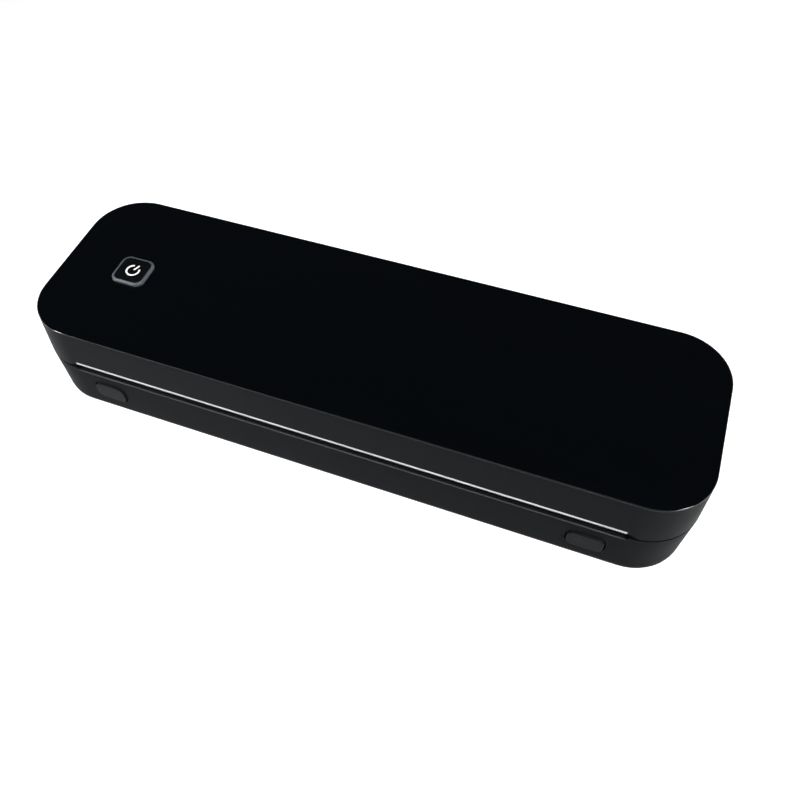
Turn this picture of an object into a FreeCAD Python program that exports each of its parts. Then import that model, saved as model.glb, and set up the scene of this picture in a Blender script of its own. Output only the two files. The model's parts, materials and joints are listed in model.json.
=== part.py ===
import FreeCAD, Part
import math
import os

# The printer stands on its rubber feet. X runs along its length, the front faces -Y, +Z is up.

# Outer form. The width and the height follow from what lies inside.
LENGTH = 265.0
CORNER_RADIUS = 21.0
LID_DEPTH = 20.5
PARTING_GAP = 0.3
FOOT_STAND = 1.0
BASE_DRAFT = 2.0
BOTTOM_ROUND = 7.0
GROOVE_DROP = 0.6
GROOVE_WIDTH = 0.9
GROOVE_FALL = 0.7

# How far a cutter runs past a face, and the radial play of a pin in its hole
OVERRUN = 1.0
PIN_FIT = 0.03
PARALLEL_SHARE = 1e-6
QUARTER_ANGLE = 90

# From the floor up: board, round roll bay, parting line
BASE_WALL = 2.2
BASE_FLOOR = 2.0
BOARD_STAND = 1.2
BOARD_THICK = 1.2
BOARD_HEADROOM = 1.5
ROLL_RADIUS = 16.0
ROLL_CLEAR = 1.0
BAY_WALL = 1.6
BAY_SINK = 4.0
FLOOR_TOP = FOOT_STAND + BASE_FLOOR
BOARD_LOW = FLOOR_TOP + BOARD_STAND
BOARD_TOP = BOARD_LOW + BOARD_THICK
BAY_RADIUS = ROLL_RADIUS + ROLL_CLEAR
BAY_OUTER = BAY_RADIUS + BAY_WALL
BAY_Z = BOARD_TOP + BOARD_HEADROOM + BAY_OUTER
PARTING_Z = BAY_Z + BAY_SINK
LID_LOW = PARTING_Z + PARTING_GAP
HEIGHT = PARTING_Z + LID_DEPTH

# From front to rear: roller, motor, roll bay beside it, ledge and hinge
PLATEN_SETBACK = 12.0
MOTOR_SETBACK = 14.08
MOTOR_RADIUS = 9.0
MOTOR_LIFT = 0.4
MOTOR_CLEAR = 0.6
REAR_LEDGE = 2.0
HINGE_INSET = 4.0
HINGE_CLEAR = 0.35
HINGE_SWEEP = HINGE_INSET + HINGE_CLEAR
MOTOR_Z = FLOOR_TOP + MOTOR_LIFT + MOTOR_RADIUS
MOTOR_TO_BAY = math.sqrt((BAY_OUTER + MOTOR_RADIUS + MOTOR_CLEAR) ** 2 - (BAY_Z - MOTOR_Z) ** 2)
BAY_TO_REAR = BAY_OUTER + REAR_LEDGE + HINGE_SWEEP + HINGE_INSET
WIDTH = PLATEN_SETBACK + MOTOR_SETBACK + MOTOR_TO_BAY + BAY_TO_REAR
HALF_LENGTH = LENGTH / 2
FRONT_Y = -WIDTH / 2
REAR_Y = WIDTH / 2
PLATEN_Y = FRONT_Y + PLATEN_SETBACK
MOTOR_Y = PLATEN_Y + MOTOR_SETBACK
MOTOR = (MOTOR_Y, MOTOR_Z)
BAY_Y = REAR_Y - BAY_TO_REAR
HINGE_Y = REAR_Y - HINGE_INSET

# Lid: moulded cover, gloss panel, liner
LID_WALL = 2.0
LID_SKIN = 1.6
PANEL_THICK = 1.2
PANEL_FIT = 0.05
PANEL_LAP = 0.45
PANEL_ROUND = 0.35
RIM_WIDTH = 0.8
RIM_CHAMFER = 0.15
LINER_THICK = 1.2
LINER_SPACE = 3.6
LINER_FIT = 0.3
LID_BOSS_RADIUS = 3.0
LID_SCREW_RADIUS = 1.1
LID_SCREW_HEAD = 2.2
LID_SCREW_HEAD_THICK = 1.2
LID_RIB_THICK = 1.2
LID_RIB_END_SPACE = 30.5
LID_RIB_SHIFT = 11.0
LID_RIB_COUNT = 6

LID_RIB_PITCH = 2 * (HALF_LENGTH - LID_RIB_END_SPACE) / LID_RIB_COUNT
PANEL_LOW = HEIGHT - PANEL_THICK
RIM_TOP = HEIGHT - PANEL_LAP
CEILING_Z = PANEL_LOW - LID_SKIN
LINER_TOP = CEILING_Z - LINER_SPACE
LINER_LOW = LINER_TOP - LINER_THICK
LINER_INSET = LID_WALL + LINER_FIT

# Hinge along the rear edge
HINGE_END_SPACE = 50.5
KNUCKLE_RADIUS = 2.4
KNUCKLE_HALF = 3.7
KNUCKLE_GAP = 0.3
EAR_THICK = 4.0
EAR_DEPTH = 15.0
HINGE_PIN_RADIUS = 1.0
HINGE_CENTRE = HALF_LENGTH - HINGE_END_SPACE
HINGE = (HINGE_Y, PARTING_Z)
EAR_INNER = HINGE_CENTRE - KNUCKLE_HALF - KNUCKLE_GAP - EAR_THICK
EAR_OUTER = HINGE_CENTRE + KNUCKLE_HALF + KNUCKLE_GAP + EAR_THICK
TAIL_HALF = HALF_LENGTH - CORNER_RADIUS + math.sqrt(
    CORNER_RADIUS ** 2 - (CORNER_RADIUS - HINGE_INSET) ** 2)

# Platen roller in the lid, with its bushings and gear
PLATEN_RADIUS = 5.0
PLATEN_END_SPACE = 24.5
NIP_DROP = 0.1
PAPER_GAP = 0.25
SHAFT_RADIUS = 2.0
BUSHING_RADIUS = 3.5
BUSHING_STEP = 2.8
BUSHING_SPACE = 1.3
BUSHING_LENGTH = 5.1
HOLDER_CLEAR = 0.8
HOLDER_WALL = 1.4
HOLDER_SPACE = 0.6
PLATEN_EAR_GAP = 0.2
PLATEN_EAR_THICK = 2.0
PLATEN_EAR_HALF = 5.0
PLATEN_EAR_DROP = 4.0
PLATEN_HALF = HALF_LENGTH - PLATEN_END_SPACE
NIP_Z = PARTING_Z - NIP_DROP
PLATEN_Z = NIP_Z + PLATEN_RADIUS
PLATEN = (PLATEN_Y, PLATEN_Z)
HOLDER_RADIUS = PLATEN_RADIUS + HOLDER_CLEAR
BUSHING_IN = PLATEN_HALF + BUSHING_SPACE
BUSHING_OUT = BUSHING_IN + BUSHING_LENGTH
PLATEN_EAR_IN = BUSHING_OUT + PLATEN_EAR_GAP
PLATEN_EAR_OUT = PLATEN_EAR_IN + PLATEN_EAR_THICK

# Paper slot and tear bar
SLOT_END_SPACE = 21.5
SLOT_STEP = 3.6
SLOT_TOP = 1.7
LIP_DROP = 2.0
LIP_BEVEL = 0.4
LIP_LAND = 1.1
LIP_THROAT = 2.0
TEAR_END_SPACE = 22.5
TEAR_THICK = 0.6
TEAR_HEIGHT = 1.3
TEAR_DROP = 1.7
TEAR_HOLD = 0.8
TEAR_CLIP = 0.4
TEAR_CLIP_RISE = 2.6
TOOTH_PITCH = 1.0
TOOTH_HEIGHT = 0.5
TEAR_FIT = 0.05
SLOT_HALF = HALF_LENGTH - SLOT_END_SPACE
TEAR_HALF = HALF_LENGTH - TEAR_END_SPACE
TEAR_LOW = PARTING_Z + TEAR_DROP
TEAR_TOP = TEAR_LOW + TEAR_HEIGHT
TEAR_EDGE = TEAR_LOW + TEAR_HOLD

# Print head under the platen, and the sheet chassis that carries it
RIDGE_RISE = 0.25
RIDGE_RADIUS = 2.0
CERAMIC_THICK = 0.7
CERAMIC_FRONT = 5.0
CERAMIC_REAR = 4.0
SINK_THICK = 2.4
SINK_FRONT = 6.0
SINK_REAR = 9.0
SINK_OVER = 0.6
FIN_COUNT = 4
FIN_WIDTH = 1.2
FIN_DEPTH = 0.9
DRIVER_WIDTH = 3.4
DRIVER_RISE = 0.8
DRIVER_ROUND = 0.5
DRIVER_GAP = 0.4
HEAD_PIN_RADIUS = 0.9
HEAD_PIN_SETBACK = 7.5
HEAD_SPRING_SPACE = 2.6
HEAD_SPRING_SHEET = 0.3
HEAD_SPRING_COUNT = 6
HEAD_SPRING_WIDTH = 9.0
HEAD_SPRING_GAP = 0.05
CHASSIS_SHEET = 1.0
CHASSIS_GAP = 1.2
CHASSIS_FRONT = 8.0
CHASSIS_REAR = 9.6
CHASSIS_LEG_CLEAR = 0.9
CHASSIS_LEG_INSET = 0.4
CHASSIS_LEG_REAR = 5.0
CHASSIS_FOOT = 6.0
CHASSIS_LIP = 5.0
NOTCH_FIT = 0.1
NOTCH_WALL = 2.0
NOTCH_RISE = 0.8
SINK_HALF = PLATEN_HALF + SINK_OVER
HEAD_SPRING_PITCH = 2 * PLATEN_HALF / HEAD_SPRING_COUNT
CERAMIC_TOP = NIP_Z - PAPER_GAP - RIDGE_RISE
SINK_TOP = CERAMIC_TOP - CERAMIC_THICK
SINK_LOW = SINK_TOP - SINK_THICK
HEAD_PIVOT = (PLATEN_Y + HEAD_PIN_SETBACK, (SINK_TOP + SINK_LOW) / 2)
CHASSIS_TOP = SINK_LOW - HEAD_SPRING_SPACE
CHASSIS_LOW = CHASSIS_TOP - CHASSIS_SHEET
CHASSIS_IN = SINK_HALF + CHASSIS_GAP
CHASSIS_OUT = CHASSIS_IN + CHASSIS_SHEET

# Release buttons in the front wall
BUTTON_END_SPACE = 34.5
BUTTON_WIDTH = 13.3
BUTTON_HEIGHT = 9.4
BUTTON_DROP = 7.7
BUTTON_ROUND = 3.2
BUTTON_FIT = 0.6
BUTTON_PROUD = 0.7
BUTTON_EDGE = 0.5
BUTTON_LIP = 1.2
BUTTON_LIP_THICK = 1.0
BUTTON_TRAVEL = 1.8
BUTTON_SEAT = 0.3
PAD_HALF = 3.0
PAD_LENGTH = 0.4
PAD_GAP = 0.25
PAD_HEIGHT = 2.0
BUTTON_CENTRE = HALF_LENGTH - BUTTON_END_SPACE
BUTTON_TOP = PARTING_Z - BUTTON_DROP
BUTTON_LOW = BUTTON_TOP - BUTTON_HEIGHT
PAD_Z = BUTTON_TOP - BUTTON_HEIGHT / 3

# Latch levers that hold the platen's bushings down
LATCH_GAP = 0.4
LATCH_THICK = 3.0
LATCH_PIVOT_RISE = 2.8
LATCH_PIVOT_SETBACK = 3.0
LATCH_HUB = 2.6
LATCH_STUD_RADIUS = 1.2
LATCH_STUD_HEAD = 0.5
TAB_THICK = 1.4
TAB_HEIGHT = 5.0
HOOK_GAP = 0.15
HOOK_THICK = 2.4
HOOK_REACH = 0.6
HOOK_ARM = 2.8
LATCH_IN = CHASSIS_OUT + LATCH_GAP
LATCH_OUT = LATCH_IN + LATCH_THICK
LATCH_SPRING_SHEET = 0.4
LATCH_SPRING_HALF = 2.0
SPRING_POST_THICK = 1.4
SPRING_POST_GAP = 4.6
SPRING_DROP = 4.4

# Roll bay in the paper tray
BAY_SHORTER = 1.5
TRAY_THICK = 2.0
TRAY_DROP = 1.0
TRAY_FIT = 0.5
TRAY_REAR_DEPTH = 6.0
MECHANISM_END_SPACE = 9.5
MECHANISM_REAR = 11.5
BAY_HALF = PLATEN_HALF - BAY_SHORTER
MECHANISM_HALF = HALF_LENGTH - MECHANISM_END_SPACE
TRAY_TOP = PARTING_Z - TRAY_DROP
TRAY_LOW = TRAY_TOP - TRAY_THICK

# Boards, battery and charging socket
BOARD_HALF = 58.0
BOARD_FRONT = 13.5
BOARD_REAR = 18.0
BOARD_BOSS = 2.5
BOARD_BOSS_INSET = 4.0
CELL_RADIUS = 9.1
CELL_LENGTH = 65.5
CELL_ROUND = 0.8
BATTERY_LIFT = 0.3
BATTERY_CENTRE = -5.0
BATTERY_CLEAR = 0.8
CRADLE_THICK = 1.6
CRADLE_HEIGHT = 5.0
CRADLE_COUNT = 4
BATTERY_Z = FLOOR_TOP + BATTERY_LIFT + CELL_RADIUS
BATTERY_Y = BAY_Y - math.sqrt(
    (BAY_OUTER + CELL_RADIUS + BATTERY_CLEAR) ** 2 - (BAY_Z - BATTERY_Z) ** 2)
SOCKET_END_SPACE = 32.5
SOCKET_WIDTH = 9.0
SOCKET_HEIGHT = 3.2
SOCKET_DEPTH = 7.4
SOCKET_SHEET = 0.35
SOCKET_RECESS = 0.4
SOCKET_OPEN = 0.4
TONGUE_THICK = 0.7
TONGUE_WIDTH = 6.7
CHARGE_BOARD_Z = 9.8
CHARGE_BOARD_HALF = 9.5
CHARGE_BOARD_DEPTH = 11.0
CHARGE_BOARD_THICK = 1.0
CHARGE_POST = 2.0
SOCKET_CENTRE = HALF_LENGTH - SOCKET_END_SPACE

# Drive: motor, two reductions, platen gear
GEAR_MODULE = 0.6
PLATEN_TEETH = 20
IDLER_TEETH = 18
SMALL_WHEEL_TEETH = 14
LARGE_WHEEL_TEETH = 26
PINION_TEETH = 10
GEAR_WIDTH = 2.4
LARGE_WIDTH = 1.3
GEAR_LAYER_GAP = 0.2
GEAR_BACKLASH = 0.1
ADDENDUM_SHARE = 0.92
DEDENDUM_SHARE = 1.2
PRESSURE_ANGLE = math.radians(20.0)
GEAR_PLATE_THICK = 1.2
GEAR_PLATE_GAP = 0.8
GEAR_PLATE_RISE = 2.0
GEAR_STUD_RADIUS = 1.2
GEAR_STUD_HEAD = 0.6
GEAR_END_PLAY = 0.3
MOTOR_LENGTH = 16.5
MOTOR_FLANGE = 1.0
MOTOR_EAR = 3.0
MOTOR_BOSS = 3.0
MOTOR_SHAFT = 1.0
PLATE_IN = LATCH_OUT + GEAR_PLATE_GAP
PLATE_OUT = PLATE_IN + GEAR_PLATE_THICK
LARGE_IN = PLATE_OUT + GEAR_END_PLAY + GEAR_END_PLAY
GEAR_IN = LARGE_IN + LARGE_WIDTH + GEAR_LAYER_GAP
GEAR_OUT = GEAR_IN + GEAR_WIDTH

# Power button on the lid
POWER_END_SPACE = 31.3
POWER_Y = -1.1
BEZEL_LENGTH = 14.7
BEZEL_WIDTH = 14.4
BEZEL_ROUND = 3.5
BEZEL_RISE = 1.3
BEZEL_BEVEL = 0.6
CAP_SIZE = 12.2
CAP_ROUND = 2.6
CAP_FIT = 0.3
CAP_DROP = 0.1
CAP_THICK = 1.6
CAP_EDGE = 0.5
CAP_DISH = 0.25
STEM_RADIUS = 2.0
STEM_FOOT_RADIUS = 2.8
STEM_FOOT_THICK = 0.8
STEM_CLEAR = 0.4
SWITCH_BOARD_LENGTH = 24.0
SWITCH_BOARD_WIDTH = 14.0
SWITCH_BOARD_THICK = 0.8
SWITCH_SIZE = 6.0
SWITCH_HEIGHT = 1.1
PLUNGER_RADIUS = 1.6
PLUNGER_LENGTH = 0.9
PLUNGER_WELL = 0.9
POWER_X = POWER_END_SPACE - HALF_LENGTH
BEZEL_TOP = HEIGHT + BEZEL_RISE
CAP_TOP = BEZEL_TOP - CAP_DROP
CAP_LOW = CAP_TOP - CAP_THICK
FOOT_TOP = CEILING_Z - LINER_FIT
FOOT_LOW = FOOT_TOP - STEM_FOOT_THICK
PLUNGER_LOW = FOOT_LOW - PLUNGER_LENGTH

# Feet and base screws
FOOT_RADIUS = 5.5
FOOT_SINK = 0.4
FOOT_END_SPACE = 26.5
FOOT_EDGE_SPACE = 20.0
SCREW_RADIUS = 1.4
SCREW_HEAD_RADIUS = 2.7
SCREW_HEAD_THICK = 1.6
SCREW_SINK = 0.6
SCREW_BITE = 5.0
BOSS_RADIUS = 3.2
BOSS_SPLIT_SHARE = 0.55
SCREW_HOLE_FIT = 0.15
CORNER_BOSS_END_SPACE = 11.5
CORNER_BOSS_EDGE_SPACE = 18.0
FRONT_BOSS_SPACE = 9.5
REAR_BOSS_X = 30.0
FOOT_X = HALF_LENGTH - FOOT_END_SPACE
FOOT_Y = REAR_Y - FOOT_EDGE_SPACE
CORNER_BOSS_X = HALF_LENGTH - CORNER_BOSS_END_SPACE
CORNER_BOSS_Y = REAR_Y - CORNER_BOSS_EDGE_SPACE
FRONT_BOSS_LEFT = BATTERY_CENTRE - CELL_LENGTH - FRONT_BOSS_SPACE
FRONT_BOSS_RIGHT = (BATTERY_CENTRE + CELL_LENGTH + PLATE_IN - MOTOR_FLANGE - MOTOR_LENGTH) / 2
BOSS_SPLIT = FLOOR_TOP + (TRAY_LOW - FLOOR_TOP) * BOSS_SPLIT_SHARE

# Paper sensor in the tray's guide strip
SENSOR_X = 30.0
SENSOR_LENGTH = 6.4
SENSOR_WIDTH = 4.2
SENSOR_HEIGHT = 3.4
SENSOR_FIT = 0.15
SENSOR_SINK = 0.1


def vec(x, y, z):
    return FreeCAD.Vector(x, y, z)


def block(x, y, z):
    """A block between pairs of limits along X, Y and Z."""
    return Part.makeBox(x[1] - x[0], y[1] - y[0], z[1] - z[0], vec(x[0], y[0], z[0]))


def rod(x, centre, radius):
    """A cylinder along X; centre is its place in Y and Z."""
    return Part.makeCylinder(radius, x[1] - x[0], vec(x[0], centre[0], centre[1]), vec(1, 0, 0))


def post(centre, z, radius):
    """A cylinder along Z; centre is its place in X and Y."""
    return Part.makeCylinder(radius, z[1] - z[0], vec(centre[0], centre[1], z[0]))


def plate(points, x):
    """A profile of (y, z) points, drawn out along X."""
    corners = [vec(x[0], y, z) for y, z in points]
    corners.append(corners[0])
    return Part.Face(Part.makePolygon(corners)).extrude(vec(x[1] - x[0], 0, 0))


def direction(start, end):
    return math.atan2(end[1] - start[1], end[0] - start[0])


def bent_strip(middle, thick):
    """The outline of a bent strip of even thickness from its middle line of (y, z) points."""
    sides = []
    for index, point in enumerate(middle):
        before = middle[max(index - 1, 0)]
        after = middle[min(index + 1, len(middle) - 1)]
        turns = [direction(*run) for run in ((before, point), (point, after)) if run[0] != run[1]]
        lean = (turns[-1] - turns[0]) / 2
        normal = (turns[0] + turns[-1]) / 2 + math.pi / 2
        out = thick / 2 / math.cos(lean)
        sides.append((out * math.cos(normal), out * math.sin(normal)))
    left = [(p[0] + d[0], p[1] + d[1]) for p, d in zip(middle, sides)]
    right = [(p[0] - d[0], p[1] - d[1]) for p, d in zip(middle, sides)]
    return left + right[::-1]


def fuse(shapes):
    return shapes[0].multiFuse(shapes[1:]).removeSplitter()


def both_ends(shape):
    """A shape and its mirror image in the middle plane X = 0."""
    return [shape, shape.mirror(vec(0, 0, 0), vec(1, 0, 0))]


def round_along(solid, axis, radius, wanted):
    """Round the straight edges along an axis whose middle point is wanted."""
    edges = []
    for edge in solid.Edges:
        if len(edge.Vertexes) != 2:
            continue
        run = edge.Vertexes[1].Point - edge.Vertexes[0].Point
        along = run.Length > 0 and run.normalize().isEqual(axis, PARALLEL_SHARE)
        along = along or (run.Length > 0 and run.negative().isEqual(axis, PARALLEL_SHARE))
        if along and wanted(edge.CenterOfMass):
            edges.append(edge)
    return solid.makeFillet(radius, edges)


def rounded_wire(half_x, half_y, radius, centre, z):
    """A rectangle with arc corners, flat at height z."""
    cx = half_x - radius
    cy = half_y - radius
    edges = []
    corners = ((cx, cy), (-cx, cy), (-cx, -cy), (cx, -cy))
    for index, (x, y) in enumerate(corners):
        middle = vec(centre[0] + x, centre[1] + y, z)
        start = index * QUARTER_ANGLE
        edges.append(Part.makeCircle(radius, middle, vec(0, 0, 1), start, start + QUARTER_ANGLE))
        after = corners[(index + 1) % len(corners)]
        turn = math.radians(start + QUARTER_ANGLE)
        reach = vec(math.cos(turn) * radius, math.sin(turn) * radius, 0)
        edges.append(Part.LineSegment(middle + reach,
                                      vec(centre[0] + after[0], centre[1] + after[1], z) + reach).toShape())
    return Part.Wire(edges)


def rounded_block(half_x, half_y, radius, centre, z):
    face = Part.Face(rounded_wire(half_x, half_y, radius, centre, z[0]))
    return face.extrude(vec(0, 0, z[1] - z[0]))


def plan(inset, z):
    """The printer's outline in plan, moved in by inset, as a straight block."""
    return rounded_block(HALF_LENGTH - inset, REAR_Y - inset, CORNER_RADIUS - inset, (0, 0), z)


def draft_at(z):
    """How far the base's wall has drawn in at a height."""
    return BASE_DRAFT * (PARTING_Z - z) / (PARTING_Z - FOOT_STAND)


def drafted(inset, z):
    """The base's tapered outline, moved in by inset, between two heights."""
    wires = []
    for level in z:
        depth = inset + draft_at(level)
        wires.append(rounded_wire(HALF_LENGTH - depth, REAR_Y - depth, CORNER_RADIUS - depth,
                                  (0, 0), level))
    return Part.makeLoft(wires, True, True)


def round_bottom(solid, z, radius):
    """Round the lowest edge of a tapered block."""
    low = [edge for edge in solid.Edges if abs(edge.BoundBox.ZMax - z) < PIN_FIT]
    return solid.makeFillet(radius, low)


def front_inside(z):
    """The inner face of the base's front wall at a height."""
    return FRONT_Y + draft_at(z) + BASE_WALL


def upright_wire(half_x, half_z, radius, centre, y):
    """A rounded rectangle that stands in a plane of constant Y."""
    flat = rounded_wire(half_x, half_z, radius, (0, 0), 0)
    flat.rotate(vec(0, 0, 0), vec(1, 0, 0), QUARTER_ANGLE)
    flat.translate(vec(centre[0], y, centre[1]))
    return flat


def upright_block(half_x, half_z, radius, centre, y):
    face = Part.Face(upright_wire(half_x, half_z, radius, centre, y[0]))
    return face.extrude(vec(0, y[1] - y[0], 0))


def lid_boss_places():
    """Where the liner is screwed up into the lid, in X and Y."""
    x_far = HINGE_CENTRE / 2 + CORNER_RADIUS
    front = PLATEN_Y + HOLDER_RADIUS + HOLDER_WALL + LID_BOSS_RADIUS + LINER_FIT
    rear = HINGE_Y - KNUCKLE_RADIUS - LID_BOSS_RADIUS
    return [(-x_far, front), (0, front), (x_far, front), (-x_far, rear), (0, rear), (x_far, rear)]


def slot_relief():
    """The front wall's lower edge rises in a soft step along the paper slot."""
    run = SLOT_HALF
    step = run + SLOT_STEP
    low = LID_LOW - OVERRUN - HINGE_INSET
    y = FRONT_Y - OVERRUN
    rise = PARTING_Z + SLOT_TOP
    edges = [Part.makePolygon([vec(-step, y, LID_LOW), vec(-step, y, low), vec(step, y, low),
                               vec(step, y, LID_LOW)])]
    right = Part.BezierCurve()
    right.setPoles([vec(step, y, LID_LOW), vec(step - SLOT_STEP / 2, y, LID_LOW),
                    vec(run + SLOT_STEP / 2, y, rise), vec(run, y, rise)])
    left = Part.BezierCurve()
    left.setPoles([vec(-run, y, rise), vec(-run - SLOT_STEP / 2, y, rise),
                   vec(-step + SLOT_STEP / 2, y, LID_LOW), vec(-step, y, LID_LOW)])
    edges.append(right.toShape())
    edges.append(Part.LineSegment(vec(run, y, rise), vec(-run, y, rise)).toShape())
    edges.append(left.toShape())
    wires = [edge for item in edges for edge in item.Edges]
    face = Part.Face(Part.Wire(Part.__sortEdges__(wires)))
    return face.extrude(vec(0, LID_WALL + OVERRUN + OVERRUN, 0))


def tear_recess():
    """The step in the lid's front wall that the tear bar lies in."""
    x = (-TEAR_HALF - TEAR_FIT, TEAR_HALF + TEAR_FIT)
    face = block(x, (FRONT_Y - OVERRUN, FRONT_Y + TEAR_THICK), (LID_LOW - OVERRUN, TEAR_TOP + TEAR_FIT))
    edge = block(x, (FRONT_Y - OVERRUN, FRONT_Y + LID_WALL + OVERRUN), (LID_LOW - OVERRUN, TEAR_EDGE))
    return [face, edge]


def bezel_hole(z):
    return rounded_block(BEZEL_LENGTH / 2 + PANEL_FIT, BEZEL_WIDTH / 2 + PANEL_FIT,
                         BEZEL_ROUND + PANEL_FIT, (POWER_X, POWER_Y), z)


def ear_zone(x_play, y, z):
    """The space round the base's two pairs of hinge ears."""
    zone = block((EAR_INNER - x_play, EAR_OUTER + x_play), y, z)
    return both_ends(zone)


def lid_shell():
    shell = plan(0, (LID_LOW, RIM_TOP))
    rim = [edge for edge in shell.Edges if edge.BoundBox.ZMin > RIM_TOP - RIM_CHAMFER]
    shell = shell.makeChamfer(RIM_CHAMFER, rim)
    tail = plan(0, (PARTING_Z - HINGE_INSET, LID_LOW)).common(
        rod((-TAIL_HALF, TAIL_HALF), HINGE, HINGE_INSET))
    tail = tail.common(block((-TAIL_HALF, TAIL_HALF), (HINGE_Y, REAR_Y + OVERRUN),
                             (PARTING_Z - HINGE_SWEEP, LID_LOW + OVERRUN)))
    shell = fuse([shell, tail])
    tools = [plan(LID_WALL, (PARTING_Z - HINGE_SWEEP - OVERRUN, CEILING_Z))]
    tools.append(plan(RIM_WIDTH, (PANEL_LOW, HEIGHT + OVERRUN)))
    tools.append(slot_relief())
    tools.extend(tear_recess())
    knuckles = rod((EAR_INNER - KNUCKLE_GAP, EAR_OUTER + KNUCKLE_GAP), HINGE, KNUCKLE_RADIUS + KNUCKLE_GAP)
    tools.extend(both_ends(knuckles))
    tools.extend(ear_zone(KNUCKLE_GAP, (HINGE_Y - OVERRUN, REAR_Y + OVERRUN),
                          (PARTING_Z - HINGE_SWEEP - OVERRUN, LID_LOW)))
    shell = shell.cut(tools)
    bosses = [post(place, (LINER_TOP, CEILING_Z + LID_SKIN / 2), LID_BOSS_RADIUS)
              for place in lid_boss_places()]
    ribs = []
    reach = REAR_Y - LID_WALL / 2
    for index in range(LID_RIB_COUNT):
        x = (index - (LID_RIB_COUNT - 1) / 2) * LID_RIB_PITCH + LID_RIB_SHIFT
        ribs.append(block((x - LID_RIB_THICK / 2, x + LID_RIB_THICK / 2), (-reach, reach),
                          (CEILING_Z - LINER_SPACE / 2, CEILING_Z + LID_SKIN / 2)))
    shell = fuse([shell] + bosses + ribs)
    holes = [post(place, (LINER_TOP - OVERRUN, CEILING_Z), LID_SCREW_RADIUS + PIN_FIT)
             for place in lid_boss_places()]
    holes.append(post((POWER_X, POWER_Y), (CEILING_Z - OVERRUN, PANEL_LOW + OVERRUN),
                      STEM_RADIUS + STEM_CLEAR))
    return shell.cut(holes)


def top_panel():
    """The gloss cover: it lies in the lid's pocket and laps over its rim."""
    cover = plan(0, (RIM_TOP, HEIGHT))
    top = [edge for edge in cover.Edges if edge.BoundBox.ZMin > HEIGHT - PANEL_ROUND]
    cover = cover.makeFillet(PANEL_ROUND, top)
    panel = fuse([cover, plan(RIM_WIDTH + PANEL_FIT, (PANEL_LOW, HEIGHT - PANEL_ROUND))])
    return panel.cut(bezel_hole((PANEL_LOW - OVERRUN, HEIGHT + OVERRUN)))


def platen_holder():
    """The long hood over the roller, open at its underside."""
    half = PLATEN_HALF + HOLDER_SPACE
    outer = HOLDER_RADIUS + HOLDER_WALL
    low = PLATEN_Z - HOLDER_CLEAR
    hood = block((-half, half), (PLATEN_Y - outer, PLATEN_Y + outer), (low, LINER_LOW + LINER_THICK / 2))
    hood = round_along(hood, vec(1, 0, 0), HOLDER_WALL / 2,
                       lambda middle: middle.z < PLATEN_Z)
    x = (-half - OVERRUN, half + OVERRUN)
    return hood.cut(block(x, (PLATEN_Y - HOLDER_RADIUS, PLATEN_Y + HOLDER_RADIUS), (low - OVERRUN, PLATEN_Z)))


def platen_ear():
    """The lug of the liner that holds a bushing's outer step."""
    ear = block((PLATEN_EAR_IN, PLATEN_EAR_OUT), (PLATEN_Y - PLATEN_EAR_HALF, PLATEN_Y + PLATEN_EAR_HALF),
                (PLATEN_Z - PLATEN_EAR_DROP, LINER_LOW + LINER_THICK / 2))
    ear = round_along(ear, vec(1, 0, 0), PLATEN_EAR_DROP - BUSHING_STEP,
                      lambda middle: middle.z < PLATEN_Z)
    return ear.cut(rod((PLATEN_EAR_IN - OVERRUN, PLATEN_EAR_OUT + OVERRUN), PLATEN, BUSHING_STEP + PIN_FIT))


def hinge_arm():
    """The knuckle that hangs from the liner between two ears of the base."""
    x = (HINGE_CENTRE - KNUCKLE_HALF, HINGE_CENTRE + KNUCKLE_HALF)
    arm = block(x, (HINGE_Y - KNUCKLE_RADIUS, REAR_Y - LINER_INSET), (PARTING_Z, LINER_LOW + LINER_THICK / 2))
    arm = arm.cut(block((x[0] - OVERRUN, x[1] + OVERRUN), (HINGE_Y, REAR_Y),
                        (PARTING_Z - OVERRUN, PARTING_Z + HINGE_INSET)))
    return fuse([arm, rod(x, HINGE, KNUCKLE_RADIUS),
                 block(x, (HINGE_Y - KNUCKLE_RADIUS, HINGE_Y), (PARTING_Z, PARTING_Z + HINGE_SWEEP))])


def lid_liner():
    liner = plan(LINER_INSET, (LINER_LOW, LINER_TOP))
    pieces = [liner, platen_holder()] + both_ends(platen_ear()) + both_ends(hinge_arm())
    liner = fuse(pieces)
    channel = PLATEN_HALF + HOLDER_SPACE
    holes = [rod((-channel, channel), PLATEN, HOLDER_RADIUS)]
    holes += both_ends(rod((EAR_INNER, EAR_OUTER), HINGE, HINGE_PIN_RADIUS + PIN_FIT))
    holes += [post(place, (LINER_LOW - OVERRUN, LINER_TOP + OVERRUN), LID_SCREW_RADIUS + PIN_FIT)
              for place in lid_boss_places()]
    return liner.cut(holes)


def lid_screws():
    screws = []
    for place in lid_boss_places():
        head = post(place, (LINER_LOW - LID_SCREW_HEAD_THICK, LINER_LOW), LID_SCREW_HEAD)
        low = [edge for edge in head.Edges if edge.BoundBox.ZMax < LINER_LOW - LID_SCREW_HEAD_THICK / 2]
        head = head.makeFillet(LID_SCREW_HEAD_THICK / 2, low)
        shank = post(place, (LINER_LOW - LID_SCREW_HEAD_THICK / 2, CEILING_Z - LINER_FIT), LID_SCREW_RADIUS)
        screws.append(fuse([head, shank]))
    return Part.makeCompound(screws)


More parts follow.
